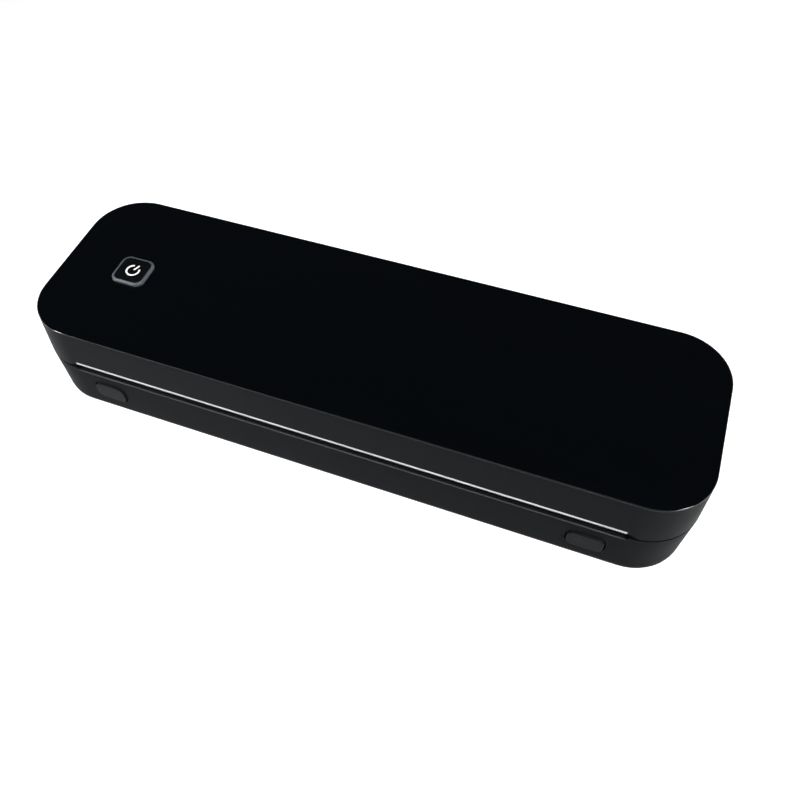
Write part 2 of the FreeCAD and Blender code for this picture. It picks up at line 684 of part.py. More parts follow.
def bezel():
    """The raised ring round the power button, bevelled at its outer edge."""
    ring = rounded_block(BEZEL_LENGTH / 2, BEZEL_WIDTH / 2, BEZEL_ROUND, (POWER_X, POWER_Y),
                         (PANEL_LOW, BEZEL_TOP))
    top = [edge for edge in ring.Edges if edge.BoundBox.ZMin > BEZEL_TOP - BEZEL_BEVEL / 2]
    ring = ring.makeChamfer(BEZEL_BEVEL, top)
    hole = rounded_block(CAP_SIZE / 2 + CAP_FIT, CAP_SIZE / 2 + CAP_FIT, CAP_ROUND + CAP_FIT,
                         (POWER_X, POWER_Y), (PANEL_LOW - OVERRUN, BEZEL_TOP + OVERRUN))
    return ring.cut(hole)


def power_button():
    cap = rounded_block(CAP_SIZE / 2, CAP_SIZE / 2, CAP_ROUND, (POWER_X, POWER_Y), (CAP_LOW, CAP_TOP))
    rim = CAP_SIZE / 2 - CAP_EDGE
    dish_radius = (rim ** 2 + CAP_DISH ** 2) / (2 * CAP_DISH)
    dish = Part.makeSphere(dish_radius, vec(POWER_X, POWER_Y, CAP_TOP + dish_radius - CAP_DISH))
    stem = post((POWER_X, POWER_Y), (FOOT_LOW, CAP_LOW + CAP_THICK / 2), STEM_RADIUS)
    foot = post((POWER_X, POWER_Y), (FOOT_LOW, FOOT_TOP), STEM_FOOT_RADIUS)
    return fuse([cap.cut(dish), stem, foot])


def switch_plunger():
    return post((POWER_X, POWER_Y), (PLUNGER_LOW, FOOT_LOW), PLUNGER_RADIUS)


def switch_board():
    half = SWITCH_BOARD_LENGTH / 2
    return rounded_block(half, SWITCH_BOARD_WIDTH / 2, LINER_THICK, (POWER_X + half / 2, POWER_Y),
                         (LINER_TOP, LINER_TOP + SWITCH_BOARD_THICK))


def push_switch():
    low = LINER_TOP + SWITCH_BOARD_THICK
    body = rounded_block(SWITCH_SIZE / 2, SWITCH_SIZE / 2, SWITCH_BOARD_THICK, (POWER_X, POWER_Y),
                         (low, low + SWITCH_HEIGHT))
    top = low + SWITCH_HEIGHT
    return body.cut(post((POWER_X, POWER_Y), (top - PLUNGER_WELL, top + OVERRUN), PLUNGER_RADIUS + PIN_FIT))


def tear_bar():
    """A thin strip with a row of teeth, clipped round the lid's lower edge."""
    count = int(2 * TEAR_HALF / TOOTH_PITCH)
    pitch = 2 * TEAR_HALF / count
    points = [(-TEAR_HALF, TEAR_TOP)]
    for index in range(count):
        start = -TEAR_HALF + index * pitch
        points.append((start, TEAR_LOW + TOOTH_HEIGHT))
        points.append((start + pitch / 2, TEAR_LOW))
    points.append((TEAR_HALF, TEAR_LOW + TOOTH_HEIGHT))
    points.append((TEAR_HALF, TEAR_TOP))
    points.append(points[0])
    strip = Part.Face(Part.makePolygon([vec(x, FRONT_Y, z) for x, z in points]))
    strip = strip.extrude(vec(0, TEAR_THICK, 0))
    x = (-TEAR_HALF, TEAR_HALF)
    back = FRONT_Y + LID_WALL
    web = block(x, (FRONT_Y + TEAR_THICK / 2, back + TEAR_CLIP), (TEAR_EDGE - TEAR_CLIP, TEAR_EDGE))
    clip = block(x, (back, back + TEAR_CLIP), (TEAR_EDGE - TEAR_CLIP, TEAR_EDGE + TEAR_CLIP_RISE))
    return fuse([strip, web, clip])


def platen_rubber():
    x = (-PLATEN_HALF, PLATEN_HALF)
    return rod(x, PLATEN, PLATEN_RADIUS).cut(rod(x, PLATEN, SHAFT_RADIUS))


def platen_shaft():
    left = -PLATEN_EAR_OUT - GEAR_END_PLAY
    shaft = rod((left, GEAR_OUT), PLATEN, SHAFT_RADIUS)
    ends = [edge for edge in shaft.Edges if edge.BoundBox.XMax - edge.BoundBox.XMin < PIN_FIT]
    return shaft.makeChamfer(GEAR_END_PLAY, ends)


def platen_bushings():
    wide = rod((BUSHING_IN, BUSHING_OUT), PLATEN, BUSHING_RADIUS)
    step = rod((BUSHING_OUT, PLATEN_EAR_OUT + PLATEN_EAR_GAP), PLATEN, BUSHING_STEP)
    bushing = fuse([wide, step]).cut(
        rod((BUSHING_IN - OVERRUN, PLATEN_EAR_OUT + OVERRUN), PLATEN, SHAFT_RADIUS + PIN_FIT))
    return Part.makeCompound(both_ends(bushing))


def pitch_radius(teeth):
    return GEAR_MODULE * teeth / 2


def involute(angle):
    return math.tan(angle) - angle


def gear(teeth, centre, x, bore, tooth_angle):
    """A spur gear along X with one tooth centred at tooth_angle, measured from +Y towards +Z."""
    pitch = pitch_radius(teeth)
    base = pitch * math.cos(PRESSURE_ANGLE)
    root = pitch - DEDENDUM_SHARE * GEAR_MODULE
    tip = pitch + ADDENDUM_SHARE * GEAR_MODULE
    half_tooth = math.pi / (2 * teeth) - GEAR_BACKLASH / (2 * pitch)
    flank = []
    for radius in (root, max(base, (root + pitch) / 2), pitch, tip):
        lean = math.acos(min(1, base / radius))
        flank.append((radius, half_tooth + involute(PRESSURE_ANGLE) - involute(lean)))
    points = []
    for index in range(teeth):
        middle = tooth_angle + index * 2 * math.pi / teeth
        for radius, half in flank:
            points.append((radius, middle - half))
        for radius, half in reversed(flank):
            points.append((radius, middle + half))
    outline = [(centre[0] + radius * math.cos(turn), centre[1] + radius * math.sin(turn))
               for radius, turn in points]
    solid = plate(outline, x)
    return solid.cut(rod((x[0] - OVERRUN, x[1] + OVERRUN), centre, bore))


def mesh_angle(teeth, centre, tooth_angle, next_teeth, next_centre):
    """The tooth angle that puts the next gear in mesh with this one."""
    line = direction(centre, next_centre)
    pitch = 2 * math.pi / teeth
    next_pitch = 2 * math.pi / next_teeth
    share = (line - tooth_angle) / pitch
    return line + math.pi - next_pitch * (1 / 2 - share)


def idler_centre():
    return (PLATEN_Y, PLATEN_Z - pitch_radius(PLATEN_TEETH) - pitch_radius(IDLER_TEETH))


def reduction_centre():
    """The place at the right distances from the idler and from the motor, below their line."""
    idler = idler_centre()
    near = pitch_radius(IDLER_TEETH) + pitch_radius(SMALL_WHEEL_TEETH)
    far = pitch_radius(LARGE_WHEEL_TEETH) + pitch_radius(PINION_TEETH)
    span = math.hypot(MOTOR_Y - idler[0], MOTOR_Z - idler[1])
    along = (near ** 2 - far ** 2 + span ** 2) / (2 * span)
    aside = math.sqrt(near ** 2 - along ** 2)
    turn = direction(idler, MOTOR)
    return (idler[0] + along * math.cos(turn) + aside * math.sin(turn),
            idler[1] + along * math.sin(turn) - aside * math.cos(turn))


def idler_angle():
    return mesh_angle(PLATEN_TEETH, PLATEN, 0, IDLER_TEETH, idler_centre())


def platen_gear():
    return gear(PLATEN_TEETH, PLATEN, (GEAR_IN, GEAR_OUT), SHAFT_RADIUS, 0)


def idler_gear():
    return gear(IDLER_TEETH, idler_centre(), (GEAR_IN, GEAR_OUT), GEAR_STUD_RADIUS + PIN_FIT, idler_angle())


def reduction_gear():
    centre = reduction_centre()
    small_angle = mesh_angle(IDLER_TEETH, idler_centre(), idler_angle(), SMALL_WHEEL_TEETH, centre)
    bore = GEAR_STUD_RADIUS + PIN_FIT
    small = gear(SMALL_WHEEL_TEETH, centre, (LARGE_IN + LARGE_WIDTH, GEAR_OUT), bore, small_angle)
    large = gear(LARGE_WHEEL_TEETH, centre, (LARGE_IN, LARGE_IN + LARGE_WIDTH), bore, 0)
    return fuse([small, large])


def motor_pinion():
    """The motor's shaft with its pinion, in mesh with the large reduction gear."""
    angle = mesh_angle(LARGE_WHEEL_TEETH, reduction_centre(), 0, PINION_TEETH, MOTOR)
    return gear(PINION_TEETH, MOTOR, (LARGE_IN - GEAR_END_PLAY, GEAR_IN), MOTOR_SHAFT, angle)


def motor_shaft():
    return rod((PLATE_IN - MOTOR_FLANGE - MOTOR_LENGTH / 2, GEAR_IN), MOTOR, MOTOR_SHAFT)


def motor_body():
    back = PLATE_IN - MOTOR_FLANGE - MOTOR_LENGTH
    can = rod((back, PLATE_IN - MOTOR_FLANGE), MOTOR, MOTOR_RADIUS)
    can = can.makeFillet(MOTOR_EAR / 4, [edge for edge in can.Edges if edge.BoundBox.XMax < back + PIN_FIT])
    flange_x = (PLATE_IN - MOTOR_FLANGE, PLATE_IN)
    flange = rod(flange_x, MOTOR, MOTOR_RADIUS)
    # the seam between the motor's two cups
    middle = back + MOTOR_LENGTH / 2
    seam = rod((middle, middle + GEAR_END_PLAY), MOTOR, MOTOR_RADIUS + OVERRUN)
    seam = seam.cut(rod((back, PLATE_IN), MOTOR, MOTOR_RADIUS - GEAR_END_PLAY))
    boss = rod((PLATE_IN - MOTOR_FLANGE, PLATE_OUT), MOTOR, MOTOR_BOSS)
    bore = rod((middle - MOTOR_FLANGE, PLATE_OUT + OVERRUN), MOTOR, MOTOR_SHAFT + PIN_FIT)
    return fuse([can, flange, boss]).cut([seam, bore])


def gear_plate():
    """The upright sheet on the right that holds the motor and the gear studs."""
    top = PARTING_Z - NIP_DROP
    front = idler_centre()[0] - pitch_radius(PINION_TEETH) - GEAR_STUD_RADIUS
    deck = PLATEN_Y + MECHANISM_REAR
    rear = MOTOR_Y + MOTOR_RADIUS
    low = FLOOR_TOP + GEAR_PLATE_THICK
    shelf = TRAY_LOW - GEAR_PLATE_RISE
    toe = reduction_centre()[0] + GEAR_STUD_RADIUS
    points = [(front, idler_centre()[1] - MOTOR_EAR), (toe, low), (rear - MOTOR_EAR, low),
              (rear, low + MOTOR_EAR), (rear, MOTOR_Z + MOTOR_EAR), (deck, shelf),
              (deck - GEAR_PLATE_THICK, top), (front, top)]
    sheet = plate(points, (PLATE_IN, PLATE_OUT))
    foot = block((PLATE_IN, PLATE_OUT + MOTOR_EAR + GEAR_PLATE_THICK), (toe, rear - MOTOR_EAR),
                 (FLOOR_TOP, low))
    holes = [rod((PLATE_IN - OVERRUN, PLATE_OUT + OVERRUN), MOTOR, MOTOR_BOSS + PIN_FIT)]
    for centre in (idler_centre(), reduction_centre()):
        holes.append(rod((PLATE_IN - OVERRUN, PLATE_OUT + OVERRUN), centre, GEAR_STUD_RADIUS - PIN_FIT))
    return fuse([sheet, foot]).cut(holes)


def gear_studs():
    studs = []
    for centre in (idler_centre(), reduction_centre()):
        neck = rod((PLATE_IN, PLATE_OUT), centre, GEAR_STUD_RADIUS - PIN_FIT)
        collar = rod((PLATE_OUT, LARGE_IN - GEAR_END_PLAY / 2), centre, GEAR_STUD_RADIUS + GEAR_STUD_HEAD)
        axle = rod((PLATE_OUT, GEAR_OUT + GEAR_END_PLAY), centre, GEAR_STUD_RADIUS)
        head = rod((GEAR_OUT + GEAR_END_PLAY, GEAR_OUT + GEAR_END_PLAY + GEAR_STUD_HEAD), centre,
                   GEAR_STUD_RADIUS + GEAR_STUD_HEAD)
        studs.append(fuse([neck, collar, axle, head]))
    return Part.makeCompound(studs)


def heat_sink():
    """The head's aluminium bar, grooved below, with a pivot pin at each end."""
    bar = block((-SINK_HALF, SINK_HALF), (PLATEN_Y - SINK_FRONT, PLATEN_Y + SINK_REAR), (SINK_LOW, SINK_TOP))
    pitch = (SINK_FRONT + SINK_REAR) / (FIN_COUNT + 1)
    grooves = []
    for index in range(FIN_COUNT):
        y = PLATEN_Y - SINK_FRONT + (index + 1) * pitch
        grooves.append(block((-SINK_HALF - OVERRUN, SINK_HALF + OVERRUN), (y, y + FIN_WIDTH),
                             (SINK_LOW - OVERRUN, SINK_LOW + FIN_DEPTH)))
    pins = both_ends(rod((SINK_HALF - BUSHING_SPACE, CHASSIS_OUT), HEAD_PIVOT, HEAD_PIN_RADIUS))
    return fuse([bar.cut(grooves)] + pins)


def head_ceramic():
    x = (-SINK_HALF, SINK_HALF)
    strip = block(x, (PLATEN_Y - CERAMIC_FRONT, PLATEN_Y + CERAMIC_REAR), (SINK_TOP, CERAMIC_TOP))
    axis = (PLATEN_Y, CERAMIC_TOP + RIDGE_RISE - RIDGE_RADIUS)
    ridge = rod((-PLATEN_HALF, PLATEN_HALF), axis, RIDGE_RADIUS)
    ridge = ridge.cut(block((-HALF_LENGTH, HALF_LENGTH), (FRONT_Y, REAR_Y), (0, CERAMIC_TOP - RIDGE_RISE)))
    return fuse([strip, ridge])


def driver_cover():
    """The rounded black strip over the head's driver chips."""
    start = PLATEN_Y + CERAMIC_REAR + DRIVER_GAP
    strip = block((-SINK_HALF, SINK_HALF), (start, start + DRIVER_WIDTH), (SINK_TOP, SINK_TOP + DRIVER_RISE))
    return round_along(strip, vec(1, 0, 0), DRIVER_ROUND, lambda middle: middle.z > SINK_TOP + PIN_FIT)


def chassis_end():
    """An end plate: leg, head pivot and the open notch that takes a bushing."""
    x = (CHASSIS_IN, CHASSIS_OUT)
    reach = BUSHING_RADIUS + NOTCH_FIT + NOTCH_WALL
    hub_front = latch_pivot()[0] - LATCH_HUB + CHASSIS_LEG_INSET
    hub_top = latch_pivot()[1] + LATCH_HUB
    leg_front = tab_face() + TAB_THICK + BUTTON_TRAVEL + CHASSIS_LEG_CLEAR
    foot_front = FRONT_Y + BASE_DRAFT + BOTTOM_ROUND + CHASSIS_LEG_INSET
    leg_rear = PLATEN_Y + CHASSIS_LEG_REAR
    rear = PLATEN_Y + CHASSIS_REAR
    points = [(foot_front, FLOOR_TOP), (leg_rear, FLOOR_TOP), (leg_rear, CHASSIS_LOW), (rear, CHASSIS_LOW),
              (rear, SINK_TOP), (PLATEN_Y + reach, SINK_TOP + NOTCH_WALL),
              (PLATEN_Y + reach, PLATEN_Z + NOTCH_RISE),
              (PLATEN_Y - reach, PLATEN_Z + NOTCH_RISE), (PLATEN_Y - reach, SINK_TOP),
              (PLATEN_Y - CHASSIS_FRONT, SINK_TOP - NOTCH_WALL), (PLATEN_Y - CHASSIS_FRONT, CHASSIS_LOW),
              (leg_front, CHASSIS_LOW), (leg_front, hub_top), (hub_front, hub_top),
              (hub_front, FLOOR_TOP + LATCH_PIVOT_RISE / 2)]
    end = plate(points, x)
    wide = (x[0] - OVERRUN, x[1] + OVERRUN)
    notch = [rod(wide, PLATEN, BUSHING_RADIUS + NOTCH_FIT),
             block(wide, (PLATEN_Y - BUSHING_RADIUS - NOTCH_FIT, PLATEN_Y + BUSHING_RADIUS + NOTCH_FIT),
                   (PLATEN_Z, HEIGHT))]
    holes = [rod(wide, HEAD_PIVOT, HEAD_PIN_RADIUS + PIN_FIT),
             rod(wide, latch_pivot(), LATCH_STUD_RADIUS - PIN_FIT)]
    foot = block((x[0] - CHASSIS_FOOT, x[1]), (foot_front, leg_rear), (FLOOR_TOP, FLOOR_TOP + CHASSIS_SHEET))
    return fuse([end, foot]).cut(notch + holes)


def chassis():
    x = (-CHASSIS_OUT, CHASSIS_OUT)
    front = PLATEN_Y - CHASSIS_FRONT
    floor = block(x, (front, PLATEN_Y + CHASSIS_REAR), (CHASSIS_LOW, CHASSIS_TOP))
    lip = block(x, (front, front + CHASSIS_SHEET), (CHASSIS_LOW, CHASSIS_LOW + CHASSIS_LIP))
    frame = fuse([floor, lip] + both_ends(chassis_end()))
    half = BUTTON_WIDTH / 2 + BUTTON_LIP + BUTTON_SEAT
    behind = button_lip_y() + BUTTON_LIP_THICK + BUTTON_TRAVEL + BUTTON_SEAT
    window = block((BUTTON_CENTRE - half, BUTTON_CENTRE + half), (FRONT_Y, behind),
                   (BUTTON_LOW, BUTTON_TOP + BUTTON_LIP + BUTTON_SEAT))
    return frame.cut(both_ends(window))


def head_spring():
    """A leaf spring: a strip on the chassis with fingers that press the head up."""
    half = HEAD_SPRING_SHEET / 2
    start = PLATEN_Y + CERAMIC_REAR
    end = start + DRIVER_WIDTH
    reach = HEAD_SPRING_COUNT * HEAD_SPRING_PITCH / 2
    strip = block((-reach, reach), (start, end), (CHASSIS_TOP, CHASSIS_TOP + HEAD_SPRING_SHEET))
    top = SINK_LOW - HEAD_SPRING_GAP - half
    middle = [(end, CHASSIS_TOP + half), (start, CHASSIS_TOP + half), (PLATEN_Y, top),
              (PLATEN_Y - CERAMIC_FRONT / 2, top - HEAD_SPRING_SPACE / 4)]
    fingers = []
    for index in range(HEAD_SPRING_COUNT):
        x = (index - (HEAD_SPRING_COUNT - 1) / 2) * HEAD_SPRING_PITCH
        fingers.append(plate(bent_strip(middle, HEAD_SPRING_SHEET),
                             (x - HEAD_SPRING_WIDTH / 2, x + HEAD_SPRING_WIDTH / 2)))
    return fuse([strip] + fingers)


def button_lip_y():
    """Where the release button's inner lip meets the back of the front wall."""
    return front_inside(BUTTON_LOW - BUTTON_LIP) + BUTTON_SEAT


def release_button(side):
    """A rounded cap that follows the wall's slope, with a wider lip behind the wall."""
    centre = (side * BUTTON_CENTRE, (BUTTON_TOP + BUTTON_LOW) / 2)
    lip_y = button_lip_y()
    cap = upright_block(BUTTON_WIDTH / 2, BUTTON_HEIGHT / 2, BUTTON_ROUND, centre,
                        (FRONT_Y - OVERRUN, lip_y + BUTTON_LIP_THICK / 2))
    cap = cap.common(drafted(-BUTTON_PROUD, (FOOT_STAND, PARTING_Z)))
    face = [edge for edge in cap.Edges if edge.BoundBox.YMax < front_inside(BUTTON_LOW) - BASE_WALL]
    cap = cap.makeFillet(BUTTON_EDGE, face)
    lip = upright_block(BUTTON_WIDTH / 2 + BUTTON_LIP, BUTTON_HEIGHT / 2 + BUTTON_LIP,
                        BUTTON_ROUND + BUTTON_LIP, centre, (lip_y, lip_y + BUTTON_LIP_THICK))
    pad = block((centre[0] - PAD_HALF, centre[0] + PAD_HALF), (lip_y, lip_y + BUTTON_LIP_THICK + PAD_LENGTH),
                (PAD_Z - PAD_HEIGHT / 2, PAD_Z + PAD_HEIGHT / 2))
    return fuse([cap, lip, pad])


def button_opening(side):
    centre = (side * BUTTON_CENTRE, (BUTTON_TOP + BUTTON_LOW) / 2)
    return upright_block(BUTTON_WIDTH / 2 + BUTTON_FIT, BUTTON_HEIGHT / 2 + BUTTON_FIT,
                         BUTTON_ROUND + BUTTON_FIT, centre, (FRONT_Y - OVERRUN, button_lip_y()))


def tab_face():
    """The face of the latch's tab that the button's pad pushes."""
    return button_lip_y() + BUTTON_LIP_THICK + PAD_LENGTH + PAD_GAP


def latch_pivot():
    return (tab_face() + LATCH_PIVOT_SETBACK + PAD_LENGTH, FLOOR_TOP + LATCH_PIVOT_RISE)


def latch_right():
    """A lever on a stud: pushed at its tab, its hook swings back off the bushing."""
    pivot = latch_pivot()
    face = tab_face()
    tab_low = PAD_Z - TAB_HEIGHT / 2
    tab_high = PAD_Z + TAB_HEIGHT / 2
    hook_low = PLATEN_Z + BUSHING_RADIUS + HOOK_GAP
    arm_front = PLATEN_Y + BUSHING_RADIUS + LATCH_GAP
    arm_rear = arm_front + HOOK_ARM
    waist = SINK_LOW
    points = [(pivot[0] - LATCH_HUB, pivot[1]), (face, tab_low), (face, tab_high),
              (face + LATCH_HUB, tab_high), (arm_front, PLATEN_Z - BUSHING_RADIUS - HOOK_GAP),
              (arm_front, hook_low), (PLATEN_Y - HOOK_REACH, hook_low),
              (PLATEN_Y + HOOK_REACH, hook_low + HOOK_THICK), (arm_rear - HOOK_REACH, hook_low + HOOK_THICK),
              (arm_rear, hook_low + HOOK_GAP), (arm_rear, PLATEN_Z - BUSHING_RADIUS),
              (arm_front - HOOK_REACH, waist - TAB_HEIGHT), (pivot[0] + LATCH_HUB + HOOK_REACH, tab_low),
              (pivot[0] + LATCH_HUB, pivot[1])]
    x = (LATCH_IN, LATCH_OUT)
    side = fuse([plate(points, x), rod(x, pivot, LATCH_HUB)])
    tab = block((BUTTON_CENTRE - PAD_HALF, LATCH_OUT), (face, face + TAB_THICK), (tab_low, tab_high))
    bore = rod((LATCH_IN - OVERRUN, LATCH_OUT + OVERRUN), pivot, LATCH_STUD_RADIUS + PIN_FIT)
    return fuse([side, tab]).cut(bore)


def latch_studs():
    pivot = latch_pivot()
    neck = rod((CHASSIS_IN, CHASSIS_OUT), pivot, LATCH_STUD_RADIUS - PIN_FIT)
    axle = rod((CHASSIS_OUT, LATCH_OUT + PAD_GAP), pivot, LATCH_STUD_RADIUS)
    head = rod((LATCH_OUT + PAD_GAP, LATCH_OUT + PAD_GAP + LATCH_STUD_HEAD), pivot,
               LATCH_STUD_RADIUS + LATCH_STUD_HEAD)
    return Part.makeCompound(both_ends(fuse([neck, axle, head])))


def spring_post_y():
    return button_lip_y() + BUTTON_LIP_THICK + SPRING_POST_GAP


def button_spring(side):
    """A bent leaf between the button's lip and a post of the base."""
    x = side * BUTTON_CENTRE
    half = LATCH_SPRING_SHEET / 2
    near = button_lip_y() + BUTTON_LIP_THICK + HEAD_SPRING_GAP + half
    far = spring_post_y() - half
    high = PAD_Z - SPRING_DROP - LATCH_SPRING_SHEET
    low = high - SPRING_DROP / 2
    middle = [(far, FLOOR_TOP), (far, high), (near, low), (near, low - SPRING_DROP / 4)]
    return plate(bent_strip(middle, LATCH_SPRING_SHEET), (x - LATCH_SPRING_HALF, x + LATCH_SPRING_HALF))


def base_boss_places():
    """Where the base is screwed to the tray: end compartments, front strip, behind the bay."""
    front_y = PLATEN_Y + MECHANISM_REAR + BOSS_RADIUS + PAD_LENGTH
    rear_y = BAY_Y + BAY_OUTER + BOSS_RADIUS + PIN_FIT
    places = [(FRONT_BOSS_LEFT, front_y), (FRONT_BOSS_RIGHT, front_y)]
    for side in (-1, 1):
        places.append((side * CORNER_BOSS_X, CORNER_BOSS_Y))
        places.append((side * REAR_BOSS_X, rear_y))
    return places


def hinge_ears():
    """Two upright ears at each hinge, rising from the rear wall to carry a pin."""
    ears = []
    low = PARTING_Z - EAR_DEPTH
    web_top = PARTING_Z - HINGE_SWEEP
    wall = REAR_Y - draft_at(low) - BASE_WALL / 2
    for start in (EAR_INNER, EAR_OUTER - EAR_THICK):
        x = (start, start + EAR_THICK)
        ears.append(rod(x, HINGE, KNUCKLE_RADIUS))
        ears.append(block(x, (HINGE_Y - KNUCKLE_RADIUS, HINGE_Y), (web_top - KNUCKLE_GAP, PARTING_Z)))
        slope = [(HINGE_Y - KNUCKLE_RADIUS, web_top), (HINGE_Y - KNUCKLE_RADIUS, low + KNUCKLE_RADIUS),
                 (wall, low), (wall, web_top)]
        ears.append(plate(slope, x))
    return ears


def battery_cradle():
    """Ribs on the floor with a round saddle for the battery."""
    ribs = []
    run = 2 * CELL_LENGTH
    for index in range(CRADLE_COUNT):
        x = BATTERY_CENTRE + run * (index - (CRADLE_COUNT - 1) / 2) / CRADLE_COUNT
        ribs.append(block((x - CRADLE_THICK / 2, x + CRADLE_THICK / 2),
                          (BATTERY_Y - CELL_RADIUS, BATTERY_Y + CELL_RADIUS),
                          (FLOOR_TOP - BASE_FLOOR / 2, FLOOR_TOP + CRADLE_HEIGHT)))
    saddle = rod((BATTERY_CENTRE - run, BATTERY_CENTRE + run), (BATTERY_Y, BATTERY_Z),
                 CELL_RADIUS + HEAD_SPRING_GAP)
    return [rib.cut(saddle) for rib in ribs]


def board_boss_places():
    places = []
    for x in (-BOARD_HALF + BOARD_BOSS_INSET, BOARD_HALF - BOARD_BOSS_INSET):
        places.append((x, BAY_Y - BOARD_FRONT + BOARD_BOSS_INSET))
        places.append((x, BAY_Y + BOARD_REAR - BOARD_BOSS_INSET))
    return places


def charge_board_y():
    """The charge board's rear edge, just inside the rear wall."""
    return -front_inside(CHARGE_BOARD_Z) - BUTTON_SEAT


def charge_posts():
    posts = []
    rear = charge_board_y()
    for side in (-1, 1):
        x = SOCKET_CENTRE + side * (CHARGE_BOARD_HALF - CHARGE_POST / 2)
        posts.append(block((x - CHARGE_POST / 2, x + CHARGE_POST / 2),
                           (rear - CHARGE_BOARD_DEPTH + CHARGE_POST, rear - CHARGE_POST),
                           (FLOOR_TOP - BASE_FLOOR / 2, CHARGE_BOARD_Z)))
    return posts


def socket_opening():
    """The rounded window in the rear wall in front of the charging socket."""
    low = CHARGE_BOARD_Z + CHARGE_BOARD_THICK
    half = SOCKET_HEIGHT / 2 + SOCKET_OPEN
    centre = (SOCKET_CENTRE, low + SOCKET_HEIGHT / 2)
    return upright_block(SOCKET_WIDTH / 2 + SOCKET_OPEN, half, half - PIN_FIT, centre,
                         (charge_board_y() - SOCKET_DEPTH, REAR_Y + OVERRUN))


def paper_lip():
    """The notch along the front edge that the paper slides out over: a bevelled edge and a flat land."""
    top = PARTING_Z - LIP_DROP
    low = top - LIP_BEVEL
    outer = FRONT_Y - OVERRUN
    wall = FRONT_Y + draft_at(low)
    land = wall + LIP_BEVEL + LIP_LAND
    throat = front_inside(top - LIP_THROAT)
    inner = throat + OVERRUN
    points = [(wall + LIP_BEVEL, top), (land, top), (throat, top - LIP_THROAT), (inner, top - LIP_THROAT),
              (inner, PARTING_Z + OVERRUN), (outer, PARTING_Z + OVERRUN), (outer, low), (wall, low)]
    wire = Part.makePolygon([vec(-SLOT_HALF, y, z) for y, z in points + points[:1]])
    return Part.Face(wire).extrude(vec(SLOT_HALF + SLOT_HALF, 0, 0))


def parting_groove():
    """The shadow groove round the base's rim: its floor falls inwards to the rim's tongue."""
    high = PARTING_Z - GROOVE_DROP
    levels = (high - GROOVE_FALL, PARTING_Z + OVERRUN)
    wires = []
    for level in levels:
        inset = GROOVE_WIDTH * (high - level) / GROOVE_FALL
        wires.append(rounded_wire(HALF_LENGTH - inset, REAR_Y - inset, CORNER_RADIUS - inset, (0, 0), level))
    wedge = Part.makeLoft(wires, True, True)
    return wedge.cut(plan(GROOVE_WIDTH, (levels[0] - OVERRUN, levels[1] + OVERRUN)))


def base_shell():
    outer = round_bottom(drafted(0, (FOOT_STAND, PARTING_Z)), FOOT_STAND, BOTTOM_ROUND)
    inner = round_bottom(drafted(BASE_WALL, (FLOOR_TOP, PARTING_Z + OVERRUN)), FLOOR_TOP,
                         BOTTOM_ROUND - BASE_WALL)
    shell = outer.cut(inner)
    root = FLOOR_TOP - BASE_FLOOR / 2
    added = [post(place, (root, BOSS_SPLIT), BOSS_RADIUS) for place in base_boss_places()]
    added += [post(place, (root, BOARD_LOW), BOARD_BOSS) for place in board_boss_places()]
    added += battery_cradle() + charge_posts()
    for side in (-1, 1):
        x = side * BUTTON_CENTRE
        post_y = spring_post_y()
        added.append(block((x - PAD_HALF, x + PAD_HALF), (post_y, post_y + SPRING_POST_THICK),
                           (root, PAD_Z - SPRING_DROP)))
    sweep = rod((-TAIL_HALF - HINGE_CLEAR, TAIL_HALF + HINGE_CLEAR), HINGE, HINGE_SWEEP)
    behind = block((-TAIL_HALF - HINGE_CLEAR, TAIL_HALF + HINGE_CLEAR), (HINGE_Y, REAR_Y + OVERRUN),
                   (PARTING_Z - HINGE_SWEEP, PARTING_Z + OVERRUN))
    shell = shell.cut([sweep, behind, parting_groove(), paper_lip(), button_opening(-1), button_opening(1),
                       socket_opening()])
    shell = fuse([shell] + added + [item for ear in hinge_ears() for item in both_ends(ear)])
    holes = both_ends(rod((EAR_INNER - OVERRUN, EAR_OUTER + OVERRUN), HINGE, HINGE_PIN_RADIUS + PIN_FIT))
    for place in base_boss_places():
        holes.append(post(place, (0, BOSS_SPLIT + OVERRUN), SCREW_RADIUS + SCREW_HOLE_FIT))
        holes.append(post(place, (0, FOOT_STAND + SCREW_SINK + SCREW_HEAD_THICK),
                          SCREW_HEAD_RADIUS + SCREW_HOLE_FIT))
    for place in foot_places():
        holes.append(post(place, (0, FOOT_STAND + FOOT_SINK), FOOT_RADIUS + PIN_FIT))
    return shell.cut(holes)


def foot_places():
    return [(x, y) for x in (-FOOT_X, FOOT_X) for y in (-FOOT_Y, FOOT_Y)]


def rubber_feet():
    feet = []
    for place in foot_places():
        foot = post(place, (0, FOOT_STAND + FOOT_SINK), FOOT_RADIUS)
        low = [edge for edge in foot.Edges if edge.BoundBox.ZMax < PIN_FIT]
        feet.append(foot.makeFillet(FOOT_SINK, low))
    return Part.makeCompound(feet)


def base_screws():
    screws = []
    head_low = FOOT_STAND + SCREW_SINK
    for place in base_boss_places():
        head = post(place, (head_low, head_low + SCREW_HEAD_THICK), SCREW_HEAD_RADIUS)
        shank = post(place, (head_low, BOSS_SPLIT + SCREW_BITE), SCREW_RADIUS)
        screws.append(fuse([head, shank]))
    return Part.makeCompound(screws)


def tray_rear():
    """The tray's rear edge, hollowed round the lid's hinge line."""
    low = TRAY_TOP - TRAY_REAR_DEPTH
    rear = REAR_Y - draft_at(low) - BASE_WALL - TRAY_FIT
    front = BAY_Y + BAY_OUTER - BAY_WALL
    half = TAIL_HALF - HINGE_INSET
    edge = block((-half, half), (front, rear), (low, TRAY_TOP))
    return edge.common(plan(BASE_WALL + draft_at(low) + TRAY_FIT, (low, TRAY_TOP)))


